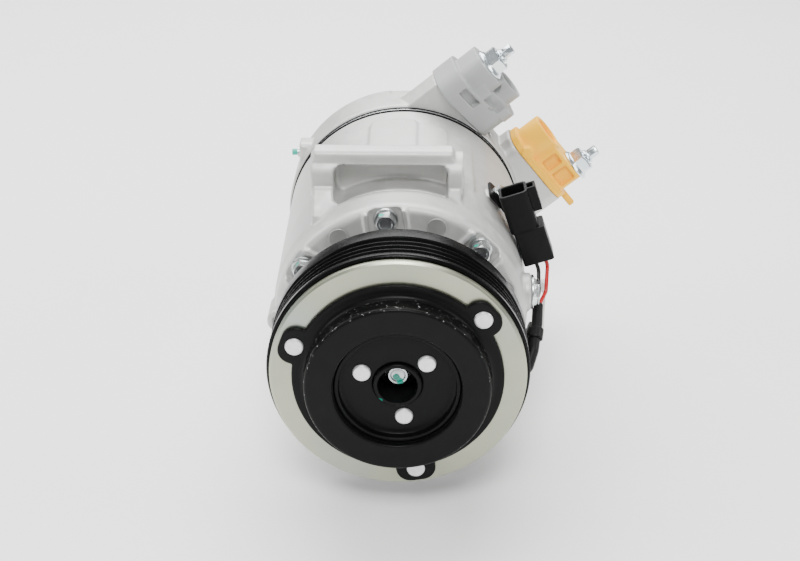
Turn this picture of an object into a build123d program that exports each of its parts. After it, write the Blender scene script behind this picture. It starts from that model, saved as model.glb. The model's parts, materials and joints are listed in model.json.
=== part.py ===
from build123d import *
import math
import os

os.makedirs("parts", exist_ok=True)

# ---------------------------------------------------------------- driving dimensions (mm)
# The shaft axis is Y, the clutch looks towards -Y, +Z is up. The origin is on the shaft
# axis, in the front face of the armature plate.
PULLEY_OD = 110.0
GROOVE_PITCH = 3.56
GROOVE_DEPTH = 3.0
PULLEY_FRONT, PULLEY_REAR = 3.4, 28.4
ARMATURE_R, ARMATURE_T = 53.5, 2.9
CUP_LIP_Y, CUP_R, WELL_R = -11.15, 38.4, 26.6
PLATE_R, EAR_R = 44.0, 51.4
RIVET_OUT_R, RIVET_IN_R = 44.93, 15.62
RIVET_ANG = -69.86                      # first rivet, from +Z towards +X
NOSE_R, NOSE_FRONT = 17.5, 5.5
BEARING_OR = 27.5

FACE_Y, POCKET_Y = 47.0, 49.15          # front wall of the housing, floor of the bolt pockets
BOLT_R, BOLT_ANG, BOLT_N = 49.75, -7.12, 7
BOLT_STEP = 360.0 / BOLT_N
HOUSING_R0, HOUSING_R1, SEAM_Y = 57.5, 59.0, 157.2
BLOCK_Y = 112.0
REAR_R, REAR_Y0, REAR_END = 60.4, 161.0, 205.0
CYL_R, BORE_R, CYL_ANG = 34.0, 12.0, BOLT_ANG + BOLT_STEP / 2
SWASH_Y, SWASH_R, SWASH_T = 90.0, 41.0, 6.0
SHOE_SPHERE = 7.5
SLEEVE_R = 12.5

LUG_Y, LUG_Z, LUG_R = 76.0, 60.0, 9.5   # cross tube of the upper mounting lug
LUG_X0, LUG_X1 = -40.0, 27.5
LUG_BORE_R = 4.25
POCKET_X0, POCKET_X1 = -29.7, 20.6
LOW_LUG_Y, LOW_LUG_Z = 76.0, -60.0

PORT_ANG = 39.5
PORT_N = Vector(math.cos(math.radians(PORT_ANG)), 0, math.sin(math.radians(PORT_ANG)))
PORT_T = Vector(PORT_N.Z, 0, -PORT_N.X)
UP_N, UP_T, UP_Y, UP_ROT = 58.0, -27.0, 171.0, 20.0
LO_N, LO_T, LO_Y, LO_ROT = 67.0, 25.0, 176.0, 0.0
STUD_R = 4.0

OIL_Y, OIL_Z = 58.0, 10.0               # oil plug at the right side
CON_ANG = 71.0                          # the connector lies along a tangent, foot at this angle from +Z
CON_N = Vector(math.sin(math.radians(CON_ANG)), 0, math.cos(math.radians(CON_ANG)))
CON_T = Vector(CON_N.Z, 0, -CON_N.X)
CON_Y0, CON_Y1 = 72.0, 84.5
BRK_ANG, BRK_Y = 47.0, 93.0             # screw of the connector bracket
BRK_N = Vector(math.sin(math.radians(BRK_ANG)), 0, math.cos(math.radians(BRK_ANG)))
CLAMP_ANG, CLAMP_Y = 106.0, 60.0        # screw of the lead clamp
CLAMP_N = Vector(math.sin(math.radians(CLAMP_ANG)), 0, math.cos(math.radians(CLAMP_ANG)))


# ---------------------------------------------------------------- shared shapes
def F(y):
    """A plane across the shaft at y: local x is X, local y is Z, its normal looks forward (-Y)."""
    return Plane(origin=(0, y, 0), x_dir=(1, 0, 0), z_dir=(0, -1, 0))


def polar(phi_deg):
    """Angle in a front plane for phi, counted from +Z towards +X."""
    return 90.0 - phi_deg


def radial_xz(r, phi_deg):
    a = math.radians(phi_deg)
    return r * math.sin(a), r * math.cos(a)


def turned(*pts):
    """A ring turned about the shaft axis from a closed (r, y) outline."""
    with BuildPart() as ring:
        with BuildSketch(Plane.XY):
            with BuildLine():
                Polyline(*pts, close=True)
            make_face()
        revolve(axis=Axis.Y)
    return ring.part


def port_plane(n, t, y, rot):
    """A plane on a port pad: local x runs down the pad, local y to the rear, normal outwards."""
    o = PORT_N * n + PORT_T * t
    a = math.radians(rot)
    x = PORT_T * math.cos(a) + Vector(0, 1, 0) * math.sin(a)
    return Plane(origin=(o.X, y, o.Z), x_dir=x, z_dir=PORT_N)


def save(part, name):
    part.label = name
    export_step(part, f"parts/{name}.step")


# ---------------------------------------------------------------- clutch: armature side
with BuildPart() as armature_plate:
    with BuildSketch(F(0)):
        Circle(ARMATURE_R)
        Circle(31.0, mode=Mode.SUBTRACT)
    extrude(amount=-ARMATURE_T)
    chamfer(armature_plate.edges().filter_by(GeomType.CIRCLE).sort_by(Axis.Y)[:2].sort_by(SortBy.LENGTH)[-1:], 0.5)
    with BuildSketch(F(-0.1)):
        with PolarLocations(RIVET_OUT_R, 3, start_angle=polar(RIVET_ANG)):
            Circle(2.5)
    extrude(amount=-5, mode=Mode.SUBTRACT)
save(armature_plate.part, "armature_plate")

with BuildPart() as damper_cup:
    # flange with three ears
    with BuildSketch(F(-2.0)):
        Circle(PLATE_R)
        with PolarLocations(RIVET_OUT_R - 7, 3, start_angle=polar(RIVET_ANG)):
            RectangleRounded(26.6, 17.0, 6.2)
        Circle(34.5, mode=Mode.SUBTRACT)
    extrude(amount=-2.0)
    # drawn wall and front lip
    with BuildSketch(Plane.XY):
        with BuildLine():
            Polyline((34.6, -0.02), (34.6, -1.8), (35.9, -3.4), (35.9, -9.5), (26.6, -9.5), (26.6, CUP_LIP_Y + 0.5),
                     (27.1, CUP_LIP_Y), (CUP_R - 1.2, CUP_LIP_Y), (CUP_R - 0.4, CUP_LIP_Y + 0.4), (CUP_R, CUP_LIP_Y + 1.2),
                     (CUP_R, -4.0), (CUP_R + 0.5, -2.9), (CUP_R + 1.3, -2.25), (CUP_R + 2.4, -2.0),
                     (CUP_R + 2.4, -0.02), close=True)
        make_face()
    revolve(axis=Axis.Y)
    with BuildSketch(F(-2.5)):
        with PolarLocations(RIVET_OUT_R, 3, start_angle=polar(RIVET_ANG)):
            Circle(2.5)
    extrude(amount=-5, mode=Mode.SUBTRACT)
save(damper_cup.part, "damper_cup")

save(turned((26.35, -9.45), (35.8, -9.45), (35.8, -3.5), (35.0, -2.4), (27.5, -2.4), (26.35, -3.6)), "rubber_damper")

with BuildPart() as outer_rivets:
    with BuildSketch(F(-2.0)):
        with PolarLocations(RIVET_OUT_R, 3, start_angle=polar(RIVET_ANG)):
            Circle(3.9)
    extrude(amount=0.9, taper=12)
    with BuildSketch(F(-2.0)):
        with PolarLocations(RIVET_OUT_R, 3, start_angle=polar(RIVET_ANG)):
            Circle(2.5)
    extrude(amount=-4.9)
save(outer_rivets.part, "outer_rivets")

# ---------------------------------------------------------------- clutch: hub side
with BuildPart() as inner_plate:
    with BuildSketch(Plane.XY):
        with BuildLine():
            Polyline((10.3, -3.0), (10.3, -5.0), (23.4, -5.0), (24.3, -5.6), (24.3, -8.6), (26.0, -8.6),
                     (26.0, -3.8), (25.2, -3.0), close=True)
        make_face()
    revolve(axis=Axis.Y)
    with BuildSketch(F(-6)):
        with PolarLocations(RIVET_IN_R, 3, start_angle=polar(RIVET_ANG)):
            Circle(2.5)
    extrude(amount=-5, mode=Mode.SUBTRACT)
save(inner_plate.part, "inner_plate")

with BuildPart() as drive_hub:
    with BuildSketch(Plane.XY):
        with BuildLine():
            Polyline((8.2, -6.6), (9.6, -6.6), (10.1, -6.1), (10.1, -3.0), (21.0, -3.0), (21.0, 0.4), (10.6, 0.4),
                     (10.6, 14.6), (6.0, 14.6), (6.0, 10.0), (3.3, 10.0), (3.3, 6.8), (8.2, 6.8), close=True)
        make_face()
    revolve(axis=Axis.Y)
    with BuildSketch(F(-6)):
        with PolarLocations(RIVET_IN_R, 3, start_angle=polar(RIVET_ANG)):
            Circle(2.5)
    extrude(amount=-8, mode=Mode.SUBTRACT)
save(drive_hub.part, "drive_hub")

with BuildPart() as inner_rivets:
    with BuildSketch(F(-5.0)):
        with PolarLocations(RIVET_IN_R, 3, start_angle=polar(RIVET_ANG)):
            Circle(3.85)
    extrude(amount=1.33, taper=10)
    with BuildSketch(F(-5.0)):
        with PolarLocations(RIVET_IN_R, 3, start_angle=polar(RIVET_ANG)):
            Circle(2.5)
    extrude(amount=-5.4)
    with BuildSketch(F(0.4)):
        with PolarLocations(RIVET_IN_R, 3, start_angle=polar(RIVET_ANG)):
            Circle(3.4)
    extrude(amount=-0.9, taper=15)
save(inner_rivets.part, "inner_rivets")

with BuildPart() as shaft_bolt:
    with BuildSketch(F(6.8)):
        Circle(6.0)
    extrude(amount=0.9)
    with BuildSketch(F(5.9)):
        RegularPolygon(4.25, 6, major_radius=False)
    extrude(amount=4.3)
    with BuildSketch(F(1.6)):
        Circle(2.6)
    extrude(amount=-1.0, taper=-20, mode=Mode.SUBTRACT)
    with BuildSketch(F(6.8)):
        Circle(3.0)
    extrude(amount=-16.0)
    chamfer(shaft_bolt.edges().filter_by(GeomType.LINE).group_by(Axis.Y)[0], 0.35)
save(shaft_bolt.part, "shaft_bolt")

# ---------------------------------------------------------------- pulley and its bearing
R = PULLEY_OD / 2
groove_pts = [(R, 6.1)]
y = 6.1
for k in range(4):
    groove_pts += [(R - GROOVE_DEPTH, y + 1.28), (R - GROOVE_DEPTH, y + GROOVE_PITCH - 1.28), (R - 0.35, y + GROOVE_PITCH - 0.25)]
    if k < 3:
        groove_pts += [(R - 0.35, y + GROOVE_PITCH + 0.25)]
        y += GROOVE_PITCH
groove_pts += [(R, 20.6)]
with BuildPart() as pulley:
    with BuildSketch(Plane.XY):
        with BuildLine():
            Polyline((BEARING_OR, 7.0), (BEARING_OR, 28.0), (30.4, 28.0), (30.4, 9.2), (49.8, 9.2), (49.8, PULLEY_REAR - 0.5),
                     (50.3, PULLEY_REAR), (R - 0.8, PULLEY_REAR), (R, PULLEY_REAR - 0.8), *reversed(groove_pts),
                     (R, PULLEY_FRONT + 0.7), (R - 0.7, PULLEY_FRONT), (30.5, PULLEY_FRONT), (30.0, 5.6), (26.0, 5.6),
                     (26.0, 7.0), close=True)
        make_face()
    revolve(axis=Axis.Y)
    with BuildSketch(F(PULLEY_FRONT - 1)):
        for k in range(6):
            SlotArc(CenterArc((0, 0), 37.2, 60 * k + 5, 50), 2.4)
            SlotArc(CenterArc((0, 0), 45.6, 60 * k + 35, 50), 2.2)
    extrude(amount=-9, mode=Mode.SUBTRACT)
save(pulley.part, "pulley")

BY0, BY1 = 8.0, 28.0
save(turned((23.6, BY0), (BEARING_OR, BY0), (BEARING_OR, BY1), (23.6, BY1), (23.6, 21.0), (24.6, 20.0), (24.6, 16.0), (23.6, 15.0)),
     "bearing_outer_race")
save(turned((NOSE_R, BY0), (21.4, BY0), (21.4, 15.0), (20.4, 16.0), (20.4, 20.0), (21.4, 21.0), (21.4, BY1), (NOSE_R, BY1)),
     "bearing_inner_race")
with BuildPart() as bearing_balls:
    for k in range(18):
        bx, bz = radial_xz(22.5, 20 * k)
        with Locations((bx, 18.0, bz)):
            Sphere(2.0)
save(bearing_balls.part, "bearing_balls")
with BuildPart() as bearing_seals:
    for y0 in (BY0 + 0.4, BY1 - 1.4):
        with BuildSketch(F(y0)):
            Circle(23.5)
            Circle(21.75, mode=Mode.SUBTRACT)
        extrude(amount=-1.0)
save(bearing_seals.part, "bearing_seals")
with BuildPart() as retaining_rings:
    # circlip in front of the pulley bearing
    with BuildSketch(F(6.5)):
        Circle(20.3)
        Circle(16.6, mode=Mode.SUBTRACT)
        with Locations((0, -19)):
            Rectangle(5, 8, mode=Mode.SUBTRACT)
    extrude(amount=-1.4)
    # ring in front of the shaft seal
    with BuildSketch(F(16.2)):
        Circle(12.4)
        Circle(9.6, mode=Mode.SUBTRACT)
        with Locations((0, -11)):
            Rectangle(4, 6, mode=Mode.SUBTRACT)
    extrude(amount=-1.4)
save(retaining_rings.part, "retaining_rings")

# ---------------------------------------------------------------- field coil
with BuildPart() as coil_housing:
    with BuildSketch(Plane.XY):
        with BuildLine():
            Polyline((31.0, 11.0), (33.0, 11.0), (33.0, 26.4), (47.2, 26.4), (47.2, 11.0), (49.2, 11.0), (49.2, 28.6),
                     (43.0, 30.4), (19.5, 30.4), (19.5, 28.9), (31.0, 28.9), close=True)
        make_face()
    revolve(axis=Axis.Y)
    # lead outlet through the rear wall
    with BuildSketch(F(25)):
        with Locations(radial_xz(45.0, 100)):
            Circle(3.2)
    extrude(amount=-8, mode=Mode.SUBTRACT)
save(coil_housing.part, "coil_housing")
save(turned((33.1, 11.6), (47.1, 11.6), (47.1, 26.3), (33.1, 26.3)), "field_coil")

# ---------------------------------------------------------------- front housing
with BuildPart() as front_housing:
    with BuildSketch(Plane.XY):
        with BuildLine():
            Polyline((12.5, NOSE_FRONT), (NOSE_R - 0.6, NOSE_FRONT), (NOSE_R, NOSE_FRONT + 0.6), (NOSE_R, 30.5), (32.0, 30.5),
                     (34.0, 31.5), (41.0, FACE_Y - 3.0), (43.5, FACE_Y), (53.4, FACE_Y), (55.3, FACE_Y + 0.9), (56.3, FACE_Y + 3.0),
                     (56.5, 54.5), (56.9, 57.4), (57.5, 60.2), (57.5, 62.0), (HOUSING_R1, SEAM_Y - 0.6), (HOUSING_R1 - 0.5, SEAM_Y),
                     (53.05, SEAM_Y), (53.05, BLOCK_Y), (46.5, BLOCK_Y), (46.5, 62.0), (42.0, 56.0), (10.6, 56.0), (10.6, 30.0),
                     (12.5, 30.0), close=True)
        make_face()
    revolve(axis=Axis.Y)
    # circlip groove on the nose
    with BuildSketch(Plane.XY):
        with BuildLine():
            Polyline((16.5, 6.45), (18.5, 6.45), (18.5, 7.95), (16.5, 7.95), close=True)
        make_face()
    revolve(axis=Axis.Y, mode=Mode.SUBTRACT)
    # radial ribs beside the bolt pockets
    for k in range(BOLT_N):
        a = math.radians(BOLT_ANG + k * BOLT_STEP)
        rad = Vector(math.sin(a), 0, math.cos(a))
        c = rad * 49.2
        with BuildSketch(Plane(origin=(c.X, FACE_Y + 1.2, c.Z), x_dir=rad, z_dir=(0, -1, 0))):
            RectangleRounded(10.8, 19.4, 1.2)
        extrude(amount=2.5, taper=6)
    # bolt pockets
    for k in range(BOLT_N):
        a = math.radians(BOLT_ANG + k * BOLT_STEP)
        rad = Vector(math.sin(a), 0, math.cos(a))
        c = rad * 48.9
        with BuildSketch(Plane(origin=(c.X, POCKET_Y, c.Z), x_dir=rad, z_dir=(0, -1, 0))):
            RectangleRounded(13.2, 15.4, 3.0)
        extrude(amount=12, mode=Mode.SUBTRACT)
    # round flats between the bolts
    with BuildSketch(F(FACE_Y + 0.45)):
        with PolarLocations(48.96, BOLT_N, start_angle=polar(CYL_ANG)):
            Circle(4.45)
    extrude(amount=6, mode=Mode.SUBTRACT)
    # upper mounting lug: block, tube, bar, with the pocket under the bar
    with BuildSketch(Plane(origin=(LUG_X0, 0, 0), x_dir=(0, 1, 0), z_dir=(1, 0, 0))):
        with BuildLine():
            Polyline((LUG_Y - 9.0, 52.0), (LUG_Y - 9.0, LUG_Z + 2.0), (LUG_Y, LUG_Z + 9.0), (LUG_Y + 12, 58.4), (LUG_Y + 22, 50.0), close=True)
        make_face()
    extrude(amount=LUG_X1 - LUG_X0)
    with BuildSketch(Plane(origin=(LUG_X0, 0, 0), x_dir=(0, 1, 0), z_dir=(1, 0, 0))):
        with Locations((LUG_Y, LUG_Z)):
            Circle(LUG_R)
    extrude(amount=LUG_X1 - LUG_X0)
    with BuildSketch(Plane(origin=(LUG_X0 + 1.5, 0, 0), x_dir=(0, 1, 0), z_dir=(1, 0, 0))):
        with BuildLine():
            Polyline((69.4, 66.2), (69.3, 70.2), (70.0, 71.4), (71.4, 72.2), (77.0, 72.4), (79.0, 71.6), (86.0, 66.0), (86.0, 60.0), (73.0, 60.0), close=True)
        make_face()
    extrude(amount=61.5)
    # feet of the two bosses on the shoulder
    with BuildSketch(Plane(origin=(LUG_X0 + 1.0, 0, 0), x_dir=(0, 1, 0), z_dir=(1, 0, 0))):
        with BuildLine():
            Polyline((56.5, 36.0), (58.0, 46.0), (66.0, 56.0), (84.0, 56.0), (84.0, 36.0), close=True)
        make_face()
    extrude(amount=11.0)
    with BuildSketch(Plane(origin=(LUG_X1 - 10.0, 0, 0), x_dir=(0, 1, 0), z_dir=(1, 0, 0))):
        with BuildLine():
            Polyline((58.0, 44.0), (60.0, 50.0), (67.0, 56.0), (84.0, 56.0), (84.0, 44.0), close=True)
        make_face()
    extrude(amount=9.0)
    with BuildSketch(Plane(origin=((POCKET_X0 + POCKET_X1) / 2, 62.5, 0), x_dir=(1, 0, 0), z_dir=(0, -1, 0))):
        with Locations((0, 57.6)):
            RectangleRounded(POCKET_X1 - POCKET_X0, 17.2, 4.0)
        with Locations((-(POCKET_X0 + POCKET_X1) / 2, 0)):
            Circle(55.4, mode=Mode.SUBTRACT)
    extrude(amount=-18.5, mode=Mode.SUBTRACT)
    # channel between the front wall and the step of the round body
    with BuildSketch(Plane(origin=((POCKET_X0 + POCKET_X1) / 2, 62.5, 0), x_dir=(1, 0, 0), z_dir=(0, -1, 0))):
        with Locations((0, 57.6)):
            RectangleRounded(POCKET_X1 - POCKET_X0, 17.2, 4.0)
        with Locations((-(POCKET_X0 + POCKET_X1) / 2, 0)):
            Circle(53.6, mode=Mode.SUBTRACT)
    extrude(amount=-5.5, mode=Mode.SUBTRACT)
    with BuildSketch(Plane(origin=((POCKET_X0 + POCKET_X1) / 2, 62.5, 0), x_dir=(1, 0, 0), z_dir=(0, -1, 0))):
        with Locations((0, 62.2)):
            Rectangle(POCKET_X1 - POCKET_X0, 8.0)
    extrude(amount=12, mode=Mode.SUBTRACT)
    # through-bore of the lug
    with BuildSketch(Plane(origin=(LUG_X0 - 1, 0, 0), x_dir=(0, 1, 0), z_dir=(1, 0, 0))):
        with Locations((LUG_Y, LUG_Z)):
            Circle(LUG_BORE_R)
    extrude(amount=LUG_X1 - LUG_X0 + 2, mode=Mode.SUBTRACT)
    # low cast pads on top, behind the lug
    for x0, x1, y1, rr in ((-16.2, 6.0, 142.0, 60.6), (-33.0, -16.6, 139.0, 59.8), (6.4, 21.0, 139.5, 59.8), (21.4, 33.0, 137.0, 59.5)):
        with BuildSketch(Plane(origin=((x0 + x1) / 2, 0, 0), x_dir=(1, 0, 0), z_dir=(0, -1, 0)).offset(-84)):
            with BuildLine():
                zc = math.sqrt(rr * rr - max(abs(x0), abs(x1)) ** 2)
                zi = math.sqrt(rr * rr - min(abs(x0), abs(x1)) ** 2) if x0 * x1 > 0 else rr
                xa, xb = x0 - (x0 + x1) / 2, x1 - (x0 + x1) / 2
                za = math.sqrt(rr * rr - x0 * x0)
                zb = math.sqrt(rr * rr - x1 * x1)
                xm = (x0 + x1) / 2
                zm = math.sqrt(rr * rr - xm * xm)
                Line((xa, 48.0), (xa, za))
                ThreePointArc((xa, za), (0, zm), (xb, zb))
                Line((xb, zb), (xb, 48.0))
                Line((xb, 48.0), (xa, 48.0))
            make_face()
        extrude(amount=-(y1 - 84))
    # lower mounting lug, a cross tube with its web
    with BuildSketch(Plane(origin=(-30, 0, 0), x_dir=(0, 1, 0), z_dir=(1, 0, 0))):
        with BuildLine():
            Polyline((LOW_LUG_Y - 9.4, LOW_LUG_Z), (LOW_LUG_Y - 12, -50.0), (LOW_LUG_Y + 12, -50.0), (LOW_LUG_Y + 9.4, LOW_LUG_Z), close=True)
        make_face()
    extrude(amount=60)
    with BuildSketch(Plane(origin=(-30, 0, 0), x_dir=(0, 1, 0), z_dir=(1, 0, 0))):
        with Locations((LOW_LUG_Y, LOW_LUG_Z)):
            Circle(LUG_R)
    extrude(amount=60)
    with BuildSketch(Plane(origin=(-31, 0, 0), x_dir=(0, 1, 0), z_dir=(1, 0, 0))):
        with Locations((LOW_LUG_Y, LOW_LUG_Z)):
            Circle(LUG_BORE_R)
    extrude(amount=62, mode=Mode.SUBTRACT)
    with BuildSketch(Plane(origin=(0, LOW_LUG_Y - 20, 0), x_dir=(1, 0, 0), z_dir=(0, -1, 0))):
        with Locations((0, LOW_LUG_Z - 5.3)):
            RectangleRounded(36, 19.6, 1.5)
    extrude(amount=-40, mode=Mode.SUBTRACT)
    # small boss at the left with its threaded hole, rib at the right, seat of the oil plug
    with BuildSketch(F(46.0)):
        with Locations((-54.0, 0.0)):
            Circle(5.5)
    extrude(amount=-16)
    with BuildSketch(F(40.0)):
        with Locations((-54.0, 0.5)):
            Circle(2.5)
    extrude(amount=-18, mode=Mode.SUBTRACT)
    with BuildSketch(Plane(origin=(48.0, OIL_Y, OIL_Z), x_dir=(0, 1, 0), z_dir=(1, 0, 0))):
        Circle(8.6)
    extrude(amount=10.2)
    with BuildSketch(Plane(origin=(60.0, OIL_Y, OIL_Z), x_dir=(0, 1, 0), z_dir=(1, 0, 0))):
        Circle(4.0)
    extrude(amount=-20.0, mode=Mode.SUBTRACT)
    # pads for the connector bracket and the lead clamp
    with BuildSketch(Plane(origin=tuple(BRK_N * 52.0 + Vector(0, BRK_Y, 0)), x_dir=(0, 1, 0), z_dir=tuple(BRK_N))):
        RectangleRounded(10, 10, 3)
    extrude(amount=7.6)
    with BuildSketch(Plane(origin=tuple(BRK_N * 61.0 + Vector(0, BRK_Y, 0)), x_dir=(0, 1, 0), z_dir=tuple(BRK_N))):
        Circle(2.0)
    extrude(amount=-7.2, mode=Mode.SUBTRACT)
    with BuildSketch(Plane(origin=tuple(CLAMP_N * 52.0 + Vector(0, CLAMP_Y, 0)), x_dir=(0, 1, 0), z_dir=tuple(CLAMP_N))):
        Circle(5.0)
    extrude(amount=7.0)
    with BuildSketch(Plane(origin=tuple(CLAMP_N * 60.0 + Vector(0, CLAMP_Y, 0)), x_dir=(0, 1, 0), z_dir=tuple(CLAMP_N))):
        Circle(2.0)
    extrude(amount=-11.0, mode=Mode.SUBTRACT)
    # through-bolt holes
    with BuildSketch(F(40)):
        with PolarLocations(BOLT_R, BOLT_N, start_angle=polar(BOLT_ANG)):
            Circle(3.3)
    extrude(amount=-90, mode=Mode.SUBTRACT)
    # crankcase cavity and block seat cut clean again after the lugs
    with BuildSketch(F(62.0)):
        Circle(46.5)
    extrude(amount=-(BLOCK_Y - 62.0), mode=Mode.SUBTRACT)
    with BuildSketch(F(BLOCK_Y)):
        Circle(53.05)
    extrude(amount=-60, mode=Mode.SUBTRACT)
save(front_housing.part, "front_housing")

# ---------------------------------------------------------------- through bolts
with BuildPart() as through_bolts:
    with BuildSketch(F(POCKET_Y)):
        with PolarLocations(BOLT_R, BOLT_N, start_angle=polar(BOLT_ANG)):
            Circle(5.4)
    extrude(amount=1.3, taper=8)
    with BuildSketch(F(POCKET_Y - 1.0)):
        with PolarLocations(BOLT_R, BOLT_N, start_angle=polar(BOLT_ANG)):
            RegularPolygon(4.0, 6, major_radius=False)
    extrude(amount=5.0)
    with BuildSketch(F(POCKET_Y - 6.0)):
        with PolarLocations(BOLT_R, BOLT_N, start_angle=polar(BOLT_ANG)):
            Circle(3.3)
    extrude(amount=-1.1, taper=25, mode=Mode.SUBTRACT)
    with BuildSketch(F(POCKET_Y)):
        with PolarLocations(BOLT_R, BOLT_N, start_angle=polar(BOLT_ANG)):
            Circle(3.0)
    extrude(amount=-(183.0 - POCKET_Y))
save(through_bolts.part, "through_bolts")

# ---------------------------------------------------------------- cylinder block and valve plates
with BuildPart() as cylinder_block:
    with BuildSketch(F(BLOCK_Y)):
        Circle(52.9)
        with PolarLocations(BOLT_R, BOLT_N, start_angle=polar(BOLT_ANG)):
            Circle(3.4, mode=Mode.SUBTRACT)
        with PolarLocations(CYL_R, BOLT_N, start_angle=polar(CYL_ANG)):
            Circle(BORE_R, mode=Mode.SUBTRACT)
        Circle(9.6, mode=Mode.SUBTRACT)
    extrude(amount=-(SEAM_Y - BLOCK_Y))
save(cylinder_block.part, "cylinder_block")


def bolt_holes(r):
    with PolarLocations(BOLT_R, BOLT_N, start_angle=polar(BOLT_ANG)):
        Circle(r, mode=Mode.SUBTRACT)


G0, G1, G2, G3, G4, G5 = SEAM_Y, SEAM_Y + 0.5, SEAM_Y + 0.8, SEAM_Y + 3.2, SEAM_Y + 3.3, SEAM_Y + 3.8
with BuildPart() as valve_plate:
    with BuildSketch(F(G2)):
        Circle(59.1)
        bolt_holes(3.4)
        with PolarLocations(29.5, BOLT_N, start_angle=polar(CYL_ANG)):
            Circle(3.2, mode=Mode.SUBTRACT)
        with PolarLocations(39.0, BOLT_N, start_angle=polar(CYL_ANG)):
            Circle(2.6, mode=Mode.SUBTRACT)
    extrude(amount=-(G3 - G2))
save(valve_plate.part, "valve_plate")
with BuildPart() as gaskets:
    # front gasket, between housing and reed plate
    with BuildSketch(F(G0)):
        Circle(59.4)
        bolt_holes(3.4)
        with PolarLocations(CYL_R, BOLT_N, start_angle=polar(CYL_ANG)):
            Circle(12.6, mode=Mode.SUBTRACT)
    extrude(amount=-(G1 - G0))
    # rear gasket: outer ring and inner ring
    with BuildSketch(F(G3)):
        Circle(59.4)
        Circle(46.8, mode=Mode.SUBTRACT)
        bolt_holes(3.4)
    extrude(amount=-(G5 - G3))
    with BuildSketch(F(G3)):
        Circle(25.5)
        Circle(22.6, mode=Mode.SUBTRACT)
    extrude(amount=-(G5 - G3))
save(gaskets.part, "gaskets")
with BuildPart() as reed_plates:
    # suction reed plate with its seven tongues
    with BuildSketch(F(G1)):
        Circle(59.1)
        bolt_holes(3.4)
        for k in range(BOLT_N):
            a = math.radians(polar(CYL_ANG + k * BOLT_STEP))
            with Locations(Location((29.5 * math.cos(a), 29.5 * math.sin(a), 0), (0, 0, math.degrees(a)))):
                SlotArc(CenterArc((0, 0), 4.2, 60, 240), 1.0, mode=Mode.SUBTRACT)
    extrude(amount=-(G2 - G1))
    # discharge reeds and their retainer, stacked behind the valve plate
    for y0, w, th in ((G3, 7.0, 0.15), (G3 + 0.2, 6.0, 1.1)):
        with BuildSketch(F(y0)):
            Circle(46.4)
            Circle(44.6, mode=Mode.SUBTRACT)
            for k in range(BOLT_N):
                a = math.radians(polar(CYL_ANG + k * BOLT_STEP))
                with Locations(Location((40.6 * math.cos(a), 40.6 * math.sin(a), 0), (0, 0, math.degrees(a)))):
                    SlotOverall(10.6, w)
        extrude(amount=-th)
save(reed_plates.part, "reed_plates")

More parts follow.
